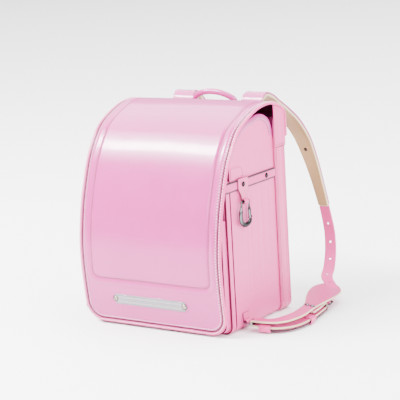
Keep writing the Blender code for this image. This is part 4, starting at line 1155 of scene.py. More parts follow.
def build_rims():
    """Tape folded over the arched top of each side wall, and its row of stitches."""
    y = np.linspace(MAIN_FRONT_Y + 0.001, MAIN_BACK_Y - 0.0012, 130)
    top = arch_height(y)
    line = xyz(0.0, y, top)
    along = tangents(line)
    down = xyz(along[:, 0], -along[:, 2], along[:, 1])
    down = np.where(down[:, 2:] > 0, -down, down)
    seams = []
    for side, label in SIDES:
        width = sizes().rim_width
        turn = np.linspace(0, np.pi, 9)
        reach = GUSSET_WALL / 2 + RIM_PROUD
        over = [(HALF_BODY + RIM_PROUD, width)]
        over += [(HALF_BODY - GUSSET_WALL / 2 + reach * np.cos(t), -RIM_PROUD * np.sin(t)) for t in turn]
        over += [(HALF_BODY - GUSSET_WALL - RIM_PROUD, width)]
        under = [(HALF_BODY - SUNK, width + 0.0004)]
        under += [(HALF_BODY - GUSSET_WALL / 2 + (GUSSET_WALL / 2 - SUNK) * np.cos(t), 2 * LIFT)
                  for t in turn]
        under += [(HALF_BODY - GUSSET_WALL + SUNK, width + 0.0004)]
        grids = []
        for section in (over, under):
            section = np.array(section)
            grid = line[:, None, :] + down[:, None, :] * section[None, :, 1:2]
            grid[..., 0] = side * section[None, :, 0]
            grids.append(grid)
        add_skin("side_wall_rim_" + label, grids[0], grids[1], flap_leather(), slot="pink_leather")
        path = line + down * (width - 0.0016)
        path[:, 0] = side * (HALF_BODY + RIM_PROUD)
        seams.append(facing(path, (side, 0, 0)))
    add_stitches("side_wall_rim_stitches", seams, thread())


def build_patches():
    """Sewn patch on each side wall at the belt's front end, with one round upper corner."""
    seams = []
    for side, label in SIDES:
        z = np.linspace(PATCH_LOW, PATCH_TOP, 30)
        left = np.maximum(PATCH_RADIUS - (PATCH_TOP - z), 0)
        back = PATCH_BACK_Y - PATCH_RADIUS + np.sqrt(np.maximum(PATCH_RADIUS ** 2 - left ** 2, 1e-9))
        share = np.linspace(0, 1, 26)
        y = PATCH_FRONT_Y + (back[:, None] - PATCH_FRONT_Y) * share[None, :]
        grid_z = np.broadcast_to(z[:, None], y.shape)
        proud = GAP * 0.6 + 0.0007 * step_up(grid_z - SIDE_BELT_Z - SIDE_BELT_WIDTH / 2, 0.003)
        outer = xyz(side * (HALF_BODY + proud), y, grid_z)
        inner = xyz(side * (HALF_BODY - SUNK), y, grid_z)
        add_skin("side_patch_" + label, outer, inner, side_leather(), slot="side_leather")
        turn = np.linspace(0, np.pi / 2, 14)
        reach = PATCH_RADIUS - PATCH_SEAM
        round_y, round_z = PATCH_BACK_Y - PATCH_RADIUS, PATCH_TOP - PATCH_RADIUS
        edge_y = np.concatenate([np.full(10, PATCH_BACK_Y - PATCH_SEAM), round_y + reach * np.cos(turn),
                                 np.linspace(round_y, PATCH_FRONT_Y + 0.001, 12)[1:]])
        edge_z = np.concatenate([np.linspace(PATCH_LOW + 0.001, round_z - 0.0005, 10),
                                 round_z + reach * np.sin(turn), np.full(11, PATCH_TOP - PATCH_SEAM)])
        seams.append(facing(xyz(side * (HALF_BODY + RIM_PROUD), edge_y, edge_z), (side, 0, 0)))
    add_stitches("side_patch_stitches", seams, rose_thread(), slot="side_leather")


def build_border():
    """Back border: a U of leather with a slight hollow along its middle and a cap over its top."""
    ys = np.linspace(BORDER_FRONT_Y + BORDER_WALL / 2, BACK_Y - BORDER_WALL / 2, 26)
    outline = u_outline(HALF_BORDER, 0.0, BORDER_TOP - BORDER_WALL / 2, BOTTOM_RADIUS, 90)
    wall = np.abs(outline[2])
    uneven = 0.5 + 0.5 * np.sin(outline[1] * 150.0)
    middle = (BORDER_FRONT_Y + BACK_Y) / 2
    dips = [(0.0005 * bump(y - middle - 0.004, 0.006)
             + 0.00035 * bump(y - middle + 0.006, 0.004) * uneven) * wall for y in ys]
    outer, inner = wall_grids(ys, [outline] * len(ys), BORDER_WALL, dips)
    # Painted shade close to the border's front edge, where it meets the side walls
    shade_along_front_edge = 0.4 * bump(ys - BORDER_FRONT_Y - 0.0012, 0.0012)[:, None] * wall
    add_skin("back_edge", outer, inner, trim_leather(), painted_shade_values=shade_along_front_edge, slot="side_leather",
             stands_for=("back_border",))
    seams = []
    for side, label in SIDES:
        u, v = np.meshgrid(np.linspace(0, 1, 36), np.linspace(0, 1, 24), indexing="ij")
        y = BORDER_FRONT_Y + CAP_INSET + (BACK_Y - BORDER_FRONT_Y - 2 * CAP_INSET) * v
        z = CAP_LOW + (under_flap(y) - ARCH_GAP_FRONT - CAP_LOW) * u
        outer = xyz(side * (HALF_BORDER + CAP_PROUD - SUNK * bump(v - 0.6, 0.2)), y, z)
        inner = xyz(side * (HALF_BORDER - 0.0004), y, z)
        add_skin("back_edge_cap_" + label, outer, inner, trim_leather(), slot="side_leather")
        # A dark cord under the cap's lower edge stands for the shade there
        y = np.linspace(BORDER_FRONT_Y + 0.001, BACK_Y - 0.001, 12)
        line = xyz(side * (HALF_BORDER + CAP_CORD_RADIUS), y, CAP_LOW - 2 * LIFT)
        path, radii = rounded_ends(line, CAP_CORD_RADIUS)
        add_tube("cap_shade_cord_" + label, path, radii, shade_cord_paint(), sides=10, slot="rose_leather")
        for offset in (BORDER_SEAM, BACK_Y - BORDER_FRONT_Y - BORDER_SEAM):
            z = np.linspace(0.2470, 0.0150, 120)
            path = xyz(side * (HALF_BORDER + LIFT / 2), BORDER_FRONT_Y + offset, z)
            seams.append(facing(path, (side, 0, 0)))
        y = np.linspace(BORDER_FRONT_Y + 0.002, BACK_Y - 0.002, 12)
        seams.append(facing(xyz(side * (HALF_BORDER + CAP_PROUD), y, CAP_LOW + 0.003), (side, 0, 0)))
    add_stitches("back_edge_stitches", seams, rose_thread(), radius=THICK_THREAD)


def flat_panel(name, node, wall, front, radius=0.0095):
    """Upright panel with round lower corners, in the place of a frame node.

    Its outer face is the front one where front is true, and else the back one.
    """
    low, high = frame_low(node), frame_high(node)
    half = (high[0] - low[0]) / 2 - wall / 2
    floor = low[2] + wall / 2
    z = np.concatenate([floor + radius * (1 - np.cos(np.linspace(0, np.pi / 2, 12))),
                        np.linspace(floor + radius, high[2] - wall / 2, 60)[1:]])
    x = np.linspace(-1, 1, 60)[None, :] * round_bottomed(half, z - floor, radius)[:, None]
    faces = (low[1], high[1]) if front else (high[1], low[1])
    outer, inner = (xyz(x, y, z[:, None]) for y in faces)
    add_skin(name, outer, inner, side_leather(), slot="side_leather", stands_for=(node,))


def build_panels():
    """The main compartment's front wall, and the board behind the wearer's cushion."""
    flat_panel("compartment_front", "front_panel", FRONT_PANEL_WALL, True)
    flat_panel("back_board", "back_panel", BACK_BOARD_WALL, False)


def tray(half, floor, top, back, front_of, radius, turn_radius, rows=10):
    """Grid of an open-topped tray: its rim at the back, a round edge, and its front face.

    The front face is the outline shrunk towards the middle of its open top, and the walls are the
    outline carried backwards. Between them the outline shrinks along a quarter circle.
    """
    x, z, out_x, out_z = u_outline(half, floor, top, radius, 40)
    grids = []
    turn = np.linspace(0, np.pi / 2, 9)
    shape = [(0.0, 0.0, share) for share in np.linspace(1, 0, rows)]
    shape += [(turn_radius * (1 - np.cos(t)), turn_radius * (1 - np.sin(t)), None) for t in turn[1:]]
    inset_x = x - out_x * turn_radius
    inset_z = z - out_z * turn_radius
    for inset, depth, share in shape:
        ring_x = x - out_x * inset
        ring_z = z - out_z * inset
        front = front_of(ring_z)
        if share is not None:
            y = back + (front + turn_radius - back) * (1 - share)
        else:
            y = front + depth
        grids.append(xyz(ring_x, y, ring_z))
    for scale in np.linspace(1, 0.02, 34)[1:]:
        ring_x = inset_x * scale
        ring_z = top + (inset_z - top) * scale
        grids.append(xyz(ring_x, front_of(ring_z), ring_z))
    return np.array(grids)


def build_pocket(name, node, wall, radius, front_of=None):
    """One open-topped pocket in the place of a frame node."""
    low, high = frame_low(node), frame_high(node)
    half = (high[0] - low[0]) / 2
    front_of = front_of or (lambda z: np.full(np.shape(z), low[1]))
    top = high[2] - wall / 2
    back = high[1] - wall / 2
    outer = tray(half, low[2], top, back, front_of, radius, POCKET_EDGE)
    inner = tray(half - wall, low[2] + wall, top, back, lambda z: front_of(z) + wall, radius - wall,
                 POCKET_INNER_EDGE)
    add_skin(name, outer, inner, side_leather(), slot="side_leather", stands_for=(node,))


def slip_front(node):
    """The slip pocket's sloping front: its place along Y, worked out from the height."""
    low, high = frame_low(node), frame_high(node)
    shallow = 0.0042
    deep = 0.0080

    def front(z):
        share = np.clip((z - low[2]) / (high[2] - low[2]), 0, 1)
        return high[1] - shallow - (deep - shallow) * share
    return front


def u_cord(name, half, floor, top, y, radius, thickness, material):
    """Thin cord along a U outline, sunk halfway into the corner that it covers."""
    x, z, _, _ = u_outline(half - thickness * 0.5, floor + thickness, top, radius, 50)
    path, radii = rounded_ends(xyz(x, y, z), thickness)
    add_tube(name, path, radii, material, sides=12, start=(0.0, 1.0, 0.0), slot="rose_leather")


# Dark cords that stand for the shade in the walls' front corners. Cord's name, node whose front corner
# it covers, half width and radius
SHADE_CORDS = (
    ("main_shade_cord", "main_gusset", HALF_BODY, 0.0014),
    ("slim_shade_cord", "slim_pocket", HALF_BODY, 0.0012),
    ("front_shade_cord", "front_pocket", 0.117, 0.0011),
)


def build_pockets():
    """The three pockets, and the dark cords that stand for the shade in the corners between the walls.
    """
    build_pocket("slim_pouch", "slim_pocket", POCKET_WALL, BOTTOM_RADIUS)
    build_pocket("front_pouch", "front_pocket", POCKET_WALL, BOTTOM_RADIUS)
    build_pocket("slip_pouch", "slip_pocket", SLIP_WALL, SLIP_RADIUS, slip_front("slip_pocket"))
    for name, node, half, thickness in SHADE_CORDS:
        low, high = frame_low(node), frame_high(node)
        top = arch_height(MAIN_FRONT_Y) - 0.003 if node == "main_gusset" else high[2] - 0.002
        u_cord(name, half, low[2], top, low[1] + 0.0002, BOTTOM_RADIUS, thickness, shade_cord_paint())


# Side belts, tabs and hooks

def build_side_belts():
    """Belts that run along each side and turn round the front corner."""
    bend = SIDE_BELT_LEATHER / 2 + GAP
    for side, label in SIDES:
        front_y = frame_low("slim_pocket")[1] - GAP - SIDE_BELT_LEATHER / 2
        x = BELT_X + SIDE_BELT_LEATHER / 2
        turn = np.linspace(0, np.pi / 2, 8)
        y = np.linspace(BORDER_FRONT_Y - GAP - SIDE_BELT_LEATHER / 2, front_y + bend, 60)
        run_x = np.concatenate([np.full(len(y), x), x - bend + bend * np.cos(turn)[1:],
                                np.linspace(x - bend, x - SIDE_BELT_FRONT_RUN, 20)[1:]])
        run_y = np.concatenate([y, front_y + bend - bend * np.sin(turn)[1:], np.full(19, front_y)])
        path = xyz(side * run_x, run_y, SIDE_BELT_Z)
        up = np.tile([0.0, 0.0, 1.0], (len(path), 1))
        half = SIDE_BELT_LEATHER / 2
        facing = -side
        low, high = sorted((-half * facing, half * facing))
        outer, inner, _ = strip_grids(path, up * facing, SIDE_BELT_WIDTH, low, high, 15)
        add_skin("wall_belt_" + label, outer, inner, belt_leather(), border=1.0, slot="pink_leather",
                 stands_for=("side_belt_" + label,))
        add_rivet("wall_belt_rivet_" + label, "belt_rivet_" + label, (side, 0.0, 0.0), rivet_metal())


def loop_tab(side, wall_x, y, top_z, bar_z, top_width, loop_width, radius, thickness):
    """Path, width and across direction of a tab that runs down the wall and round a bar."""
    plate_x = wall_x + thickness / 2
    centre_x = plate_x + radius
    down = np.linspace(top_z - thickness / 2, bar_z + radius * 2.2, 16)
    turn = np.pi + np.radians(np.linspace(0, 285, 26))
    run_x = np.concatenate([np.full(len(down), plate_x), centre_x + radius * np.cos(turn)])
    run_z = np.concatenate([down, bar_z + radius * np.sin(turn)])
    path = xyz(side * run_x, y, run_z)
    run = lengths(path)
    share = np.clip(run / run[len(down) - 1], 0, 1)
    width = top_width + (loop_width - top_width) * step_up(share - 0.45, 0.55)
    across = np.tile([0.0, 1.0, 0.0], (len(path), 1))
    return path, width, across


def build_tabs():
    """The tabs that carry the hooks and the lower rings, each round its bar."""
    for side, label in SIDES:
        face = BELT_X + SIDE_BELT_LEATHER + GAP
        for name, node, wall_x, y, top, bar, wide, narrow in (
                ("hanger_", "hook_tab_", face, TAB_Y, TAB_TOP, HOOK_BAR_Z, TAB_WIDTH, TAB_LOOP_WIDTH),
                ("ring_holder_", "ring_tab_", BELT_X, RING_Y, RING_TAB_TOP, RING_HEIGHT,
                 RING_WIDTH * 0.66, RING_WIDTH * 0.6)):
            path, width, across = loop_tab(side, wall_x, y, top, bar, wide, narrow, TAB_LOOP_RADIUS,
                                           TAB_LEATHER)
            half = TAB_LEATHER / 2
            outer, inner, _ = strip_grids(path, across, width, -half, half, 17)
            add_skin(name + label, outer, inner, tab_leather(), slot="pink_leather",
                     stands_for=(node + label,))
        add_rivet("hanger_rivet_" + label, "tab_rivet_" + label, (side, 0.0, 0.0), rivet_metal())


def hook_path(table, side, count):
    """Path and radii of a hook's table, hung on the bar."""
    bar_x = BELT_X + SIDE_BELT_LEATHER + GAP + TAB_LEATHER / 2 + TAB_LOOP_RADIUS
    table = np.array(table)
    raised = HOOK_BAR_Z + HOOK_LENGTH * HOOK_WIRE[2][1]
    drop = HOOK_LENGTH * table[:, 1]
    drop = np.where(drop > 0.0066, 0.0066 + (drop - 0.0066) * HOOK_DRAWN, drop)
    points = xyz(side * bar_x, TAB_Y + HOOK_WIDTH * table[:, 0], raised - drop)
    coarse = lengths(points)
    fine = smooth(points, count)
    share = lengths(fine) / lengths(fine)[-1]
    radii = np.interp(share, coarse / coarse[-1], table[:, 2]) * HOOK_WIRE_RADIUS
    radii = radii * (1 + HOOK_HEAVY * step_up(HOOK_BAR_Z - 0.007 - fine[:, 2], 0.008))
    return fine, radii


def build_hooks():
    """The hanging snap hooks and their spring gates, on their own bodies."""
    for side, label in SIDES:
        path, radii = hook_path(HOOK_WIRE, side, 150)
        path, radii = rounded_ends(path, radii)
        add_tube("snap_hook_" + label, path, radii, dark_metal(), sides=28, squash=(0.85, 1.22),
                 body="hook_" + label, slot="chrome", stands_for=("hook_ring_" + label,))
        path, radii = hook_path(HOOK_GATE, side, 60)
        add_tube("snap_gate_" + label, path, radii, dark_metal(), sides=24, squash=(0.75, 1.15),
                 body="gate_" + label, slot="chrome", stands_for=("hook_gate_" + label,))


# Handle

def build_handle():
    """Round leather handle, plumper along its top."""
    table = np.array(HANDLE_ARCH)
    foot_y = ANCHOR_BACK_Y + GAP + HANDLE_RADIUS
    half = xyz(HANDLE_SPAN / 2 * table[:, 0], foot_y - HANDLE_FORWARD * table[:, 1],
               ANCHOR_BOTTOM + (HANDLE_TOP + HANDLE_LIFT - ANCHOR_BOTTOM) * table[:, 2])
    points = np.vstack([half[:0:-1] * [-1, 1, 1], half])
    path = smooth(points, 160)
    plump = 1 + (HANDLE_PLUMP - 1) * step_up(path[:, 2] - 0.300, 0.012)
    radii = HANDLE_RADIUS * plump
    path, radii = rounded_ends(path, radii)
    add_tube("grab_handle", path, radii, flap_leather(), sides=32, start=(0.0, 1.0, 0.0),
             slot="pink_leather", stands_for=("handle",))


# Shoulder straps and lower straps

class LowerPath:
    """Plan line of the lower strap, measured from the ring's outer bar."""

    def __init__(self):
        self.inner_bar_x = HALF_BODY + GAP + TAB_LEATHER / 2 + TAB_LOOP_RADIUS
        self.start = np.array([self.inner_bar_x + RING_LENGTH, RING_Y, 0.0])
        plan = np.array(LOWER_PLAN)
        points = self.start + xyz(LOWER_BOW * plan[:, 0], LOWER_BACK * plan[:, 1], 0.0)
        self.points = smooth(points, 120)
        self.scale = lengths(self.points)[-1] / LOWER_REACH

    def at(self, distance):
        return at_length(self.points, np.asarray(distance) * self.scale)

    def along(self, distance):
        step = 0.003
        return unit(self.at(np.asarray(distance) + step) - self.at(np.asarray(distance) - step))

    def outward(self, distance):
        """Across the strap, away from the bag, with the strap's tilt."""
        along = self.along(distance)
        tilt = STRAP_TILT * np.clip((np.asarray(distance) - 0.02) / 0.03, 0, 1)
        return xyz(along[..., 1] * np.cos(tilt), -along[..., 0] * np.cos(tilt), -np.sin(tilt))

    def point(self, distance, height, out=0.0):
        place = self.at(distance) + self.outward(distance) * np.asarray(out)[..., None]
        place[..., 2] += height
        return place


def mirrored(points, side):
    """Points for one side. The left lower strap is tucked in a little, out of the front view."""
    tuck = LEFT_TUCK * step_up(points[..., 0] - 0.128, 0.05) * step_up(0.070 - points[..., 2], 0.04)
    made = points * np.array([side, 1.0, 1.0])
    if side < 0:
        made[..., 0] += tuck
    return made


def holed_strap_points(path):
    """The narrow strap's centre line, from the belt's root to the tail's free end."""
    table = np.array(STRAP_ROUTE)
    upper = np.array([STRAP_ROOT_X, STRAP_ROOT_Y, 0.0]) + table * (STRAP_SPLAY, STRAP_REACH, STRAP_TOP)
    drop = STRAP_OVER_HEIGHT - TAIL_HEIGHT
    places = [(SLOT_PLACE, LEAF_HEIGHT + LAYER_PLAY),
              (SLOT_PLACE - SLOT_LEAD, STRAP_OVER_HEIGHT + LAYER_PLAY)]
    places += [(BUCKLE_NEAR + BUCKLE_LENGTH * share, TAIL_HEIGHT + drop * height)
               for share, height in BUCKLE_PASS]
    distance = BUCKLE_NEAR - RETURN_STEP
    while distance > KEEPER_NEAR + TAIL_STEP / 2:
        places.append((distance, TAIL_HEIGHT))
        distance -= TAIL_STEP
    places.append((KEEPER_NEAR - KEEPER_LENGTH / 2, TAIL_HEIGHT))
    places = np.array(places)
    return np.vstack([upper, path.point(places[:, 0], places[:, 1])])


def across_of(points, path):
    """Across direction of the strap: along X at the top, and the lower strap's own below."""
    share = np.clip((0.12 - points[:, 2]) / 0.09, 0, 1)[:, None]
    end = path.outward(np.array(SLOT_PLACE + 0.003))
    upper = unit(np.array([1.0, 0.0, 0.0]) * (1 - share) + end * share)
    places = np.linspace(0, LOWER_REACH, 161)
    nearest = path.at(places)[:, :2]
    found = places[np.argmin(np.linalg.norm(points[:, None, :2] - nearest[None], axis=2), axis=1)]
    return np.where(points[:, 2:] > 0.030, upper, path.outward(found))


def build_shoulder_straps(path, fine):
    """Padded belts with their linings, and the holed straps that go on from them."""
    for side, label in SIDES:
        build_padded_belt(path, fine, side, label)
        build_holed_strap(path, fine, side, label)


def build_padded_belt(path, fine, side, label):
    """Wide upper belt: a stitched face, a padded lining with sewn edges, and its eyelet."""
    distance = np.linspace(0.0015, STRAP_BELT_LENGTH - 0.001, 170)
    line = at_length(fine, distance)
    across = across_of(line, path) * (side, 1, 1)
    line = mirrored(line, side)
    table = np.array(BELT_TAPER)
    width = BELT_WIDTH * np.interp(distance / STRAP_BELT_LENGTH, table[:, 0], table[:, 1])
    face_low, face_high = GAP / 2, GAP / 2 + BELT_FACE
    lining_low, lining_high = -GAP / 2 - BELT_LINING, -GAP / 2
    outer, inner, face = strip_grids(line, across * -side, width, face_low, face_high, 21)
    add_skin("belt_face_" + label, outer, inner, flap_leather(), slot="pink_leather",
             stands_for=("belt_outer_" + label,))
    seams = []
    for edge in (-1, 1):
        place = line + across * (edge * (width / 2 - STRAP_SEAM_INSET))[:, None] + face * face_high
        seams.append((place[4:], face[4:]))
    i = ROOT_SEAM_ROW
    root = line[i] + np.linspace(-1, 1, 12)[:, None] * across[i] * (width[i] / 2 - 0.004)
    seams.append(facing(root + face[i] * face_high, face[i]))
    add_stitches("belt_face_stitches_" + label, seams, thread())
    place = np.linspace(-1, 1, 27)
    half = width[:, None] / 2 - LINING_INSET
    flat = line[:, None, :] + across[:, None, :] * place[None, :, None] * half[..., None]
    beside_seam = np.abs(place) - LINING_SEAM
    rise = LINING_CROWN * (1 - place ** 2) ** 0.6 - LINING_SEAM_DEPTH * bump(beside_seam, 0.07)
    # Painted shade along the lining's sunk sewn lines
    sewn = np.broadcast_to(bump(beside_seam, 0.05) * 0.7, flat.shape[:2])
    lower = flat + face[:, None, :] * (lining_low - rise + 2 * LIFT)[None, :, None]
    upper = flat + face[:, None, :] * lining_high
    lining = add_skin("belt_pad_" + label, lower, upper, lining_cloth(), painted_shade_values=sewn,
                      slot="cream_lining", stands_for=("belt_lining_" + label,))
    i = np.argmin(np.abs(distance - LINING_EYELET))
    centre = line[i] + face[i] * (lining_low - EYELET_HEIGHT)
    add_rivet_head("belt_eyelet_" + label, centre, -face[i], EYELET_RADIUS, EYELET_HEIGHT, dark_metal())


def build_holed_strap(path, fine, side, label):
    """Narrow strap from the belt to the tail's free end, with its round holes."""
    run = lengths(fine)[-1]
    start = STRAP_BELT_LENGTH + GAP + STRAP_LEATHER / 2
    distance = np.linspace(start, run - STRAP_LEATHER / 2, 420)
    line = mirrored(at_length(fine, distance), side)
    across = across_of(at_length(fine, distance), path) * (side, 1, 1)
    width = STRAP_WIDTH * np.sqrt(np.clip((run - distance + 0.002) / 0.009, 0.15, 1))
    half = STRAP_LEATHER / 2
    outer, inner, face = strip_grids(line, across * -side, width, -half, half, 13, LIFT)
    strap = add_skin("long_strap_" + label, outer, inner, belt_leather(),
                     paint=0.12 + 0.88 * step_up(distance - run + 0.16, 0.02), border=0.7,
                     slot="pink_leather", stands_for=("holed_strap_" + label,))
    for k in range(HOLE_COUNT):
        place = STRAP_BELT_LENGTH + GAP + HOLE_FIRST + HOLE_PITCH * k
        i = np.argmin(np.abs(distance - place))
        ends = np.linspace(-0.004, 0.004, 3)[:, None] * face[i] + line[i]
        cut_with_tube(strap, ends, HOLE_RADIUS)


def cut_with_tube(piece, path, radius):
    """Take a round hole out of a piece."""
    cut_with(piece, tube(path, np.full(len(path), radius), 24, start=(0.3, 0.9, 0.1)))


def cut_with(piece, rings):
    """Take the body that the rings make out of a piece with an exact Boolean, and apply it."""
    vertices, faces = closed_shape(rings)
    mesh = bpy.data.meshes.new("cutter")
    mesh.from_pydata(vertices.tolist(), [], faces)
    cutter = bpy.data.objects.new("cutter", mesh)
    bpy.context.scene.collection.objects.link(cutter)
    step = piece.modifiers.new("cut", "BOOLEAN")
    step.operation = "DIFFERENCE"
    step.solver = "EXACT"
    step.object = cutter
    apply_modifiers(piece)
    bpy.data.objects.remove(cutter)


def apply_modifiers(piece):
    """Replace a piece's mesh by what its modifiers make of it."""
    bpy.context.view_layer.update()
    graph = bpy.context.evaluated_depsgraph_get()
    made = bpy.data.meshes.new_from_object(piece.evaluated_get(graph), depsgraph=graph)
    piece.modifiers.clear()
    old = piece.data
    piece.data = made
    bpy.data.meshes.remove(old)
    made.shade_smooth()
    made.set_sharp_from_angle(angle=np.radians(40.0))


def lower_belt_line(path):
    """Centre line of the lower belt and the plan distance and width at each of its points."""
    marked = []
    distance = BUCKLE_NEAR - RETURN_LENGTH
    while distance < BUCKLE_NEAR - LAYER_PLAY:
        marked.append((path.point(distance, RETURN_HEIGHT), distance, False))
        distance += RETURN_STEP
    for turn in np.linspace(np.pi / 2, -np.pi / 2, 7):
        marked.append((path.point(BUCKLE_NEAR + BUCKLE_FOLD * np.cos(turn) / path.scale,
                                  BUCKLE_HEIGHT + BUCKLE_FOLD * np.sin(turn)), BUCKLE_NEAR, False))
    distance = BUCKLE_NEAR - LAYER_STEP
    while distance > LAYER_STEP / 2:
        marked.append((path.point(distance, UNDER_HEIGHT), distance, False))
        distance -= LAYER_STEP
    for turn in np.linspace(1.5 * np.pi, np.pi / 2, 7):
        marked.append((path.point(RING_FOLD * np.cos(turn) / path.scale,
                                  RING_HEIGHT + RING_FOLD * np.sin(turn)), 0.0, False))
    rise = LEAF_HEIGHT - RING_HEIGHT - RING_FOLD
    leaf = np.array(LEAF)
    for k in range(1, LEAF_STEPS + 1):
        share = k / LEAF_STEPS
        lift = min(share / LEAF_LIFT, 1.0)
        shift = np.interp(share, leaf[:, 0], leaf[:, 2]) * min(share / leaf[0, 0], 1.0)
        height = RING_HEIGHT + RING_FOLD + rise * lift * lift * (3 - 2 * lift)
        distance = LOWER_REACH * share
        marked.append((path.point(distance, height, -shift * LEAF_WIDTH), distance, True))
    return marked


def lower_belt_shape(path):
    """The lower belt's smooth centre line, and the plan distance and width at each of its points."""
    marked = lower_belt_line(path)
    coarse = np.array([m[0] for m in marked])
    place = np.array([m[1] for m in marked])
    on_leaf = np.array([float(m[2]) for m in marked])
    line = smooth(coarse, 420)
    share = lengths(line) / lengths(line)[-1]
    index = np.interp(share, lengths(coarse) / lengths(coarse)[-1], np.arange(len(coarse)))
    distance = np.interp(index, np.arange(len(coarse)), place)
    leaf = np.array(LEAF)
    curve = smooth(leaf[:, :2], 200)
    spread = LEAF_WIDTH * np.interp(distance / LOWER_REACH, curve[:, 0], curve[:, 1])
    top = np.interp(index, np.arange(len(coarse)), on_leaf) > 0.99
    width = np.where(top & (distance / LOWER_REACH > leaf[0, 0]), spread, STRAP_WIDTH)
    return line, distance, width


def build_lower_belts(path, fine):
    """Lower belts with their buckles, rings, keepers and rivets."""
    line, distance, width = lower_belt_shape(path)
    for side, label in SIDES:
        points = mirrored(line, side)
        across = path.outward(distance) * (side, 1, 1)
        half = LOWER_LEATHER / 2
        outer, inner, _ = strip_grids(points, across, np.maximum(width, 0.008), -half, half, 15)
        belt = add_skin("floor_belt_" + label, outer, inner, lower_leather(), slot="pink_leather",
                        stands_for=("lower_belt_" + label,))
        slot = at_length(fine, np.linspace(0, lengths(fine)[-1], 900))
        slot = slot[(np.abs(slot[:, 2] - LEAF_HEIGHT - LOWER_LEATHER) < 3 * LOWER_LEATHER)
                    & (slot[:, 1] > path.at(BUCKLE_FAR + TAIL_STEP)[1])]
        room = mirrored(slot, side)
        beside = across_of(slot, path) * (side, 1, 1)
        wall = STRAP_LEATHER / 2 + 2 * GAP
        grid_out, grid_in, _ = strip_grids(room, beside, STRAP_WIDTH + 6 * GAP, -wall, wall, 3)
        cut_with(belt, np.concatenate([grid_out, grid_in[:, ::-1]], 1))
        build_frames(path, side, label)
        for number, at in (("near", KEEPER_NEAR), ("far", KEEPER_FAR)):
            name = "%s_%s" % (number, label)
            build_keeper("loop_" + name, "keeper_" + name, path, at, side)
        up = np.cross(path.outward(np.array(LEAF_RIVET_PLACE)), path.along(np.array(LEAF_RIVET_PLACE)))
        for number in ("inner", "outer"):
            name = "%s_%s" % (number, label)
            add_rivet("strap_rivet_" + name, "leaf_rivet_" + name, up * (side, 1, 1), plated())


def build_frames(path, side, label):
    """The buckle with its prong, and the ring at the belt's other end."""
    corners = [(BUCKLE_NEAR, -1), (BUCKLE_NEAR, 1), (BUCKLE_FAR, 1), (BUCKLE_FAR, -1)]
    half_frame = BUCKLE_WIDTH / 2 - BUCKLE_WIRE
    loop = [path.point(place_x, BUCKLE_HEIGHT, out * half_frame) for place_x, out in corners]
    add_wire_loop("strap_buckle_" + label, loop, BUCKLE_WIRE, side, "belt_buckle_" + label)
    prong_low = BUCKLE_HEIGHT - BUCKLE_WIRE - PRONG_RADIUS - GAP
    prong = np.array([path.point(BUCKLE_NEAR + BUCKLE_WIRE + PRONG_RADIUS * 0.4, BUCKLE_HEIGHT),
                      path.point(BUCKLE_NEAR + BUCKLE_LENGTH / 2, BUCKLE_HEIGHT - PRONG_RADIUS),
                      path.point(BUCKLE_FAR - 2 * BUCKLE_WIRE, prong_low),
                      path.point(BUCKLE_FAR + BUCKLE_WIRE, prong_low)])
    line, radii = rounded_ends(mirrored(smooth(prong, 24), side), PRONG_RADIUS)
    add_tube("strap_prong_" + label, line, radii, plated(), sides=16, start=(0.0, 0.0, 1.0),
             slot="chrome", stands_for=("buckle_prong_" + label,))
    half_ring = RING_WIDTH / 2 - RING_WIRE
    loop = [np.array([x, RING_Y + y, RING_HEIGHT])
            for x, y in ((path.inner_bar_x, -half_ring), (path.start[0], -half_ring),
                         (path.start[0], half_ring), (path.inner_bar_x, half_ring))]
    add_wire_loop("strap_ring_" + label, loop, RING_WIRE, side, "belt_ring_" + label)


def add_wire_loop(name, corners, radius, side, node):
    """Closed frame of round wire whose corners are bent along small arcs."""
    corners = np.array(corners)
    points = []
    for i, corner in enumerate(corners):
        before = corner + unit(corners[i - 1] - corner) * FRAME_CORNER
        after = corner + unit(corners[(i + 1) % len(corners)] - corner) * FRAME_CORNER
        t = np.linspace(0, 1, 7)[:, None]
        points.append((1 - t) ** 2 * before + 2 * t * (1 - t) * corner + t ** 2 * after)
        following = corners[(i + 1) % len(corners)]
        end = following + unit(corner - following) * FRAME_CORNER
        points.append(after + (end - after) * np.linspace(0, 1, 10)[1:-1, None])
    add_tube(name, mirrored(np.vstack(points), side), radius, plated(), closed=True, sides=20,
             start=(0.0, 0.0, 1.0), slot="chrome", stands_for=(node,))


def build_keeper(name, node, path, place, side):
    """Band of leather round the strap's layers: a rounded rectangle carried along the strap."""
    low = TAIL_HEIGHT - STRAP_LEATHER / 2 - KEEPER_PLAY
    high = UNDER_HEIGHT + LOWER_LEATHER / 2 + KEEPER_PLAY
    distance = place + KEEPER_LENGTH * np.linspace(-0.5, 0.5, 14)
    middle = path.point(distance, (low + high) / 2)
    outward = path.outward(distance)
    up = np.cross(outward, path.along(distance))
    half_width = STRAP_WIDTH / 2 + 2 * KEEPER_PLAY
    half_height = (high - low) / 2
    turn = np.linspace(0, 2 * np.pi, 56, endpoint=False)
    grids = []
    for extra in (KEEPER_WALL, 0.0):
        a = half_width + extra
        b = half_height + extra
        radius = KEEPER_CORNER + extra
        x = np.sign(np.cos(turn)) * np.minimum(np.abs(np.cos(turn)) * 1.42, 1) * (a - radius)
        z = np.sign(np.sin(turn)) * np.minimum(np.abs(np.sin(turn)) * 1.42, 1) * (b - radius)
        x = x + radius * np.cos(turn)
        z = z + radius * np.sin(turn)
        grids.append(middle[:, None, :] + outward[:, None, :] * x[None, :, None]
                     + up[:, None, :] * z[None, :, None])
    rings = mirrored(np.concatenate([grids[0], grids[1][::-1]]), side)
    new_piece(name, *closed_shape(rings, closed=True), trim_leather(), slot="pink_leather",
              stands_for=(node,))


# Back cushion

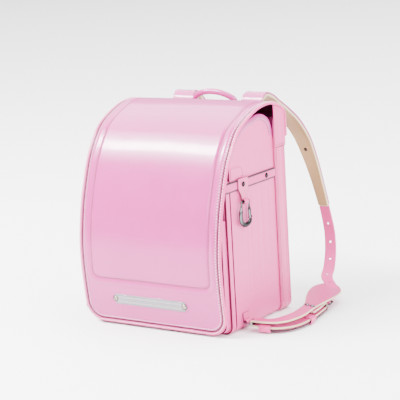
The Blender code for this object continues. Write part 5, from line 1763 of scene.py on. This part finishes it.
CUSHION_INSET = 0.002
CUSHION_RADIUS = 0.020
CUSHION_EDGE = 0.0030
CUSHION_CROWN = 0.0042
CUSHION_VOXEL = 0.0035
CUSHION_PRESSURE = 4.0
SWELL_FRAMES = 16
CHANNEL_DEPTH = 0.0034
RIB_PLACES = (0.24, 0.43, 0.62, 0.81)


def build_back_pad():
    """Sewn cushion: a slim rounded block swelled by cloth simulation, then its channels pressed in."""
    low, high = frame_low("back_pad"), frame_high("back_pad")
    half_x = (high[0] - low[0]) / 2 - CUSHION_INSET
    u = np.linspace(-1, 1, 34)
    v = np.linspace(0, 1, 40)
    floor = low[2] + CUSHION_INSET
    top = high[2] - CUSHION_INSET
    z = floor + (top - floor) * v
    wide = round_bottomed(half_x, z - floor, CUSHION_RADIUS)
    x = u[None, :] * wide[:, None]
    grid_z = np.broadcast_to(z[:, None], x.shape)
    inside = np.minimum(np.minimum(wide[:, None] - np.abs(x), grid_z - floor), top - grid_z)
    rise = CUSHION_CROWN * step_up(inside, 0.016)
    outer = xyz(x, low[1] + CUSHION_EDGE + rise, grid_z)
    inner = xyz(x, low[1] + 0.0004, grid_z)
    pad = add_skin("back_cushion", outer, inner, lining_cloth(), slot="cream_lining",
                   stands_for=("back_pad",))
    swell(pad)
    press_channels(pad, low, high)


def places_of(piece):
    """A piece's points as an array of rows."""
    flat = np.empty(len(piece.data.vertices) * 3)
    piece.data.vertices.foreach_get("co", flat)
    return flat.reshape(-1, 3)


def swell(pad):
    """Blow the cushion up with pressure, and limit how far each point has moved."""
    remesh = pad.modifiers.new("remesh", "REMESH")
    remesh.mode = "VOXEL"
    remesh.voxel_size = CUSHION_VOXEL
    apply_modifiers(pad)
    before = places_of(pad)
    cloth = pad.modifiers.new("cloth", "CLOTH")
    cloth.settings.use_pressure = True
    cloth.settings.uniform_pressure_force = CUSHION_PRESSURE
    cloth.settings.effector_weights.gravity = 0.0
    scene = bpy.context.scene
    scene.frame_start = 1
    for step in range(1, SWELL_FRAMES + 1):
        scene.frame_set(step)
    apply_modifiers(pad)
    scene.frame_set(1)
    move = places_of(pad) - before
    size = np.linalg.norm(move, axis=1, keepdims=True)
    capped = before + move * np.minimum(1, sizes().pad_swell / np.maximum(size, 1e-9))
    capped[:, 1] = np.maximum(capped[:, 1], frame_low("back_pad")[1] + 2 * LIFT)
    pad.data.vertices.foreach_set("co", capped.ravel())
    pad.data.update()


def press_channels(pad, low, high):
    """Press a spine channel and four slanting ribs into the face by smooth valleys."""
    detail = pad.modifiers.new("detail", "SUBSURF")
    detail.levels = 1
    detail.render_levels = 1
    apply_modifiers(pad)
    place = places_of(pad)
    x, y, z = place.T
    facing = step_up(y - low[1] - 0.0035, 0.003)
    spine = bump(x, 0.011) * step_up(z - low[2] - 0.022, 0.02)
    ribs = np.zeros(len(place))
    for share in RIB_PLACES:
        line = low[2] + (high[2] - low[2]) * share - 0.10 * np.abs(x)
        ribs = np.maximum(ribs, bump(z - line, 0.0055) * step_up(0.080 - np.abs(x), 0.01))
    valley = np.maximum(spine, ribs) * facing
    place[:, 1] = np.maximum(y - CHANNEL_DEPTH * valley, low[1] + 2 * LIFT)
    pad.data.vertices.foreach_set("co", place.ravel())
    # Painted shade in the pressed channels
    painted_shade = pad.data.attributes.get("painted_shade") or pad.data.attributes.new("painted_shade", "FLOAT", "POINT")
    painted_shade.data.foreach_set("value", (0.55 * np.clip(valley, 0, 1) ** 3).astype(np.float32))
    pad.data.update()
    pad.data.shade_smooth()


def build_anchor():
    """Leather-covered plate that carries the straps and the handle, sewn round its edge."""
    low, high = frame_low("strap_anchor"), frame_high("strap_anchor")
    z = np.linspace(low[2] + 0.0012, high[2] - 0.0012, 30)
    x = np.linspace(low[0] + 0.0012, high[0] - 0.0012, 80)
    grid_z, grid_x = np.meshgrid(z, x, indexing="ij")
    inside = np.minimum(np.minimum(grid_x - low[0], high[0] - grid_x),
                        np.minimum(grid_z - low[2], high[2] - grid_z))
    sewn = bump(inside - ANCHOR_SEAM, 0.0010)
    outer = xyz(grid_x, high[1] - 0.0004 * sewn, grid_z)
    inner = xyz(grid_x, low[1], grid_z)
    # The sewn line is pressed in and painted darker, as shade in the sunk seam
    add_skin("strap_base", outer, inner, trim_leather(), painted_shade_values=0.5 * sewn, slot="pink_leather",
             stands_for=("strap_anchor",))
    left, right = low[0] + ANCHOR_SEAM, high[0] - ANCHOR_SEAM
    under, over = low[2] + ANCHOR_SEAM, high[2] - ANCHOR_SEAM
    corners = np.array([(left, under), (right, under), (right, over), (left, over), (left, under)])
    flat = at_length(corners, np.linspace(0, lengths(corners)[-1], 240))
    path = xyz(flat[:, 0], high[1] - 2 * LIFT, flat[:, 1])
    add_stitches("strap_base_stitches", [facing(path, (0, 1, 0))], thread())
    steel = metal("plain_steel", (0.42, 0.42, 0.44), 0.35)
    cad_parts["bottom_clasp"].data.materials.clear()
    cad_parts["bottom_clasp"].data.materials.append(steel)


# Stage

CAMERA_PLACE = (1.23909, -1.78143, 0.61603)
CAMERA_RIGHT = (0.82994588, 0.5548802, -0.0574265)
CAMERA_UP = (-0.064991, 0.19842088, 0.97795978)
CAMERA_BACK = (0.55404513, -0.80792148, 0.20074081)
CAMERA_LENS = 133.81
CAMERA_SENSOR = 36.0
CAMERA_REACH = 100.0
FLOOR_REACH = 30.0
SURROUND_STRENGTH = 1.3

# Name, place, place that it faces, width and height, and power in watts. The first is a long low
# strip that draws the bright band on the flap, and the fourth clears the flap's top.
LIGHTS = (
    ("gloss", (-1.30, -1.22, 1.92), (-1.20, -0.09, 0.24), (2.0, 0.26), 340.0),
    ("front", (1.0, -3.9, 1.9), (0.0, -0.1, 0.15), (3.0, 2.2), 120.0),
    ("side", (4.0, -0.6, 2.0), (0.1, 0.0, 0.15), (2.6, 2.2), 300.0),
    ("sheen", (-5.0, 2.6, 8.4), (0.0, 0.3, 0.0), (9.0, 8.0), 1500.0),
    ("top", (1.5, 2.0, 6.0), (0.0, 0.2, 0.0), (4.0, 4.0), 700.0),
)


def aim(thing, place, right, up, back):
    """Place an object by its own three directions."""
    rows = [(right[i], up[i], back[i], place[i]) for i in range(3)]
    thing.matrix_world = Matrix(rows + [(0, 0, 0, 1)])


def area_light(name, place, target, size, energy):
    """Soft rectangular light that faces a target, with its long side level."""
    data = bpy.data.lights.new(name, "AREA")
    data.shape = "RECTANGLE"
    data.size, data.size_y = size
    data.energy = energy
    light = bpy.data.objects.new(name, data)
    bpy.context.scene.collection.objects.link(light)
    back = unit(np.array(place) - np.array(target))
    right = unit(np.cross([0.0, 0.0, 1.0], back))
    aim(light, place, right, np.cross(back, right), back)


def build_stage():
    """Pale floor, five soft lights, an even white surround and the camera."""
    mesh = bpy.data.meshes.new("floor")
    corners = ((-1, -1), (1, -1), (1, 1), (-1, 1))
    mesh.from_pydata([(x * FLOOR_REACH, y * FLOOR_REACH, 0) for x, y in corners], [], [(0, 1, 2, 3)])
    floor = bpy.data.objects.new("floor", mesh)
    bpy.context.scene.collection.objects.link(floor)
    paint = tuple(colours().floor)
    n = Nodes("floor_paint", paint, 0.65)
    n.set("Base Color", n.mixed(n.noise(0.8), tinted(paint, 0.995), paint))
    mesh.materials.append(n.material)

    for light in LIGHTS:
        area_light(*light)
    world = bpy.data.worlds.new("studio")
    world.use_nodes = True
    surround = world.node_tree.nodes["Background"]
    surround.inputs["Color"].default_value = (1.0, 1.0, 1.0, 1.0)
    surround.inputs["Strength"].default_value = SURROUND_STRENGTH
    bpy.context.scene.world = world

    data = bpy.data.cameras.new("camera")
    data.lens = CAMERA_LENS
    data.sensor_width = CAMERA_SENSOR
    data.clip_end = CAMERA_REACH
    camera = bpy.data.objects.new("camera", data)
    bpy.context.scene.collection.objects.link(camera)
    aim(camera, CAMERA_PLACE, CAMERA_RIGHT, CAMERA_UP, CAMERA_BACK)
    bpy.context.scene.camera = camera


class RANSEL_OT_flap(bpy.types.Operator):
    """Build the flap's face, rim, stitches and bare plate"""

    bl_idname = "ransel.flap"
    bl_label = "Flap"

    def execute(self, context):
        profile = FLAP_LINE
        build_flap(profile)
        build_binding(profile)
        build_flap_stitches(profile)
        build_plate(profile)
        return {"FINISHED"}


class RANSEL_OT_compartments(bpy.types.Operator):
    """Build the side walls, their rims, the back border, the panels and the pockets"""

    bl_idname = "ransel.compartments"
    bl_label = "Compartments"

    def execute(self, context):
        build_gusset()
        build_rims()
        build_patches()
        build_border()
        build_panels()
        build_pockets()
        return {"FINISHED"}


class RANSEL_OT_hardware(bpy.types.Operator):
    """Build the side belts, hanging tabs, rivets and snap hooks"""

    bl_idname = "ransel.hardware"
    bl_label = "Side belts and hooks"

    def execute(self, context):
        build_side_belts()
        build_tabs()
        build_hooks()
        build_anchor()
        return {"FINISHED"}


class RANSEL_OT_straps(bpy.types.Operator):
    """Build the handle, the shoulder straps and the lower straps with their buckles"""

    bl_idname = "ransel.straps"
    bl_label = "Handle and straps"

    def execute(self, context):
        build_handle()
        path = LowerPath()
        fine = smooth(holed_strap_points(path), 900)
        build_shoulder_straps(path, fine)
        build_lower_belts(path, fine)
        return {"FINISHED"}


class RANSEL_OT_back_pad(bpy.types.Operator):
    """Build the cushion on the wearer's side"""

    bl_idname = "ransel.back_pad"
    bl_label = "Back cushion"

    def execute(self, context):
        build_back_pad()
        return {"FINISHED"}


class RANSEL_OT_stage(bpy.types.Operator):
    """Build the floor, the studio lights and the camera"""

    bl_idname = "ransel.stage"
    bl_label = "Stage"

    def execute(self, context):
        build_stage()
        return {"FINISHED"}


OPERATORS = (RANSEL_OT_flap, RANSEL_OT_compartments, RANSEL_OT_hardware, RANSEL_OT_straps,
             RANSEL_OT_back_pad, RANSEL_OT_stage)


class RANSEL_PT_panel(bpy.types.Panel):
    bl_label = "Ransel"
    bl_idname = "RANSEL_PT_panel"
    bl_space_type = "VIEW_3D"
    bl_region_type = "UI"
    bl_category = "Ransel"

    def draw(self, context):
        for group in (context.scene.ransel_sizes, context.scene.ransel_colours):
            box = self.layout.box()
            for key in group.__annotations__:
                box.prop(group, key)
        for operator in OPERATORS:
            self.layout.operator(operator.bl_idname)


CLASSES = (RanselSizes, RanselColours, *OPERATORS, RANSEL_PT_panel)


def register():
    for item in CLASSES:
        bpy.utils.register_class(item)
    bpy.types.Scene.ransel_sizes = PointerProperty(type=RanselSizes)
    bpy.types.Scene.ransel_colours = PointerProperty(type=RanselColours)


def unregister():
    del bpy.types.Scene.ransel_colours
    del bpy.types.Scene.ransel_sizes
    for item in reversed(CLASSES):
        bpy.utils.unregister_class(item)


def main():
    register()
    bpy.ops.ransel.flap()
    bpy.ops.ransel.compartments()
    bpy.ops.ransel.hardware()
    bpy.ops.ransel.straps()
    bpy.ops.ransel.back_pad()
    bpy.ops.ransel.stage()


if __name__ == "__main__":
    main()
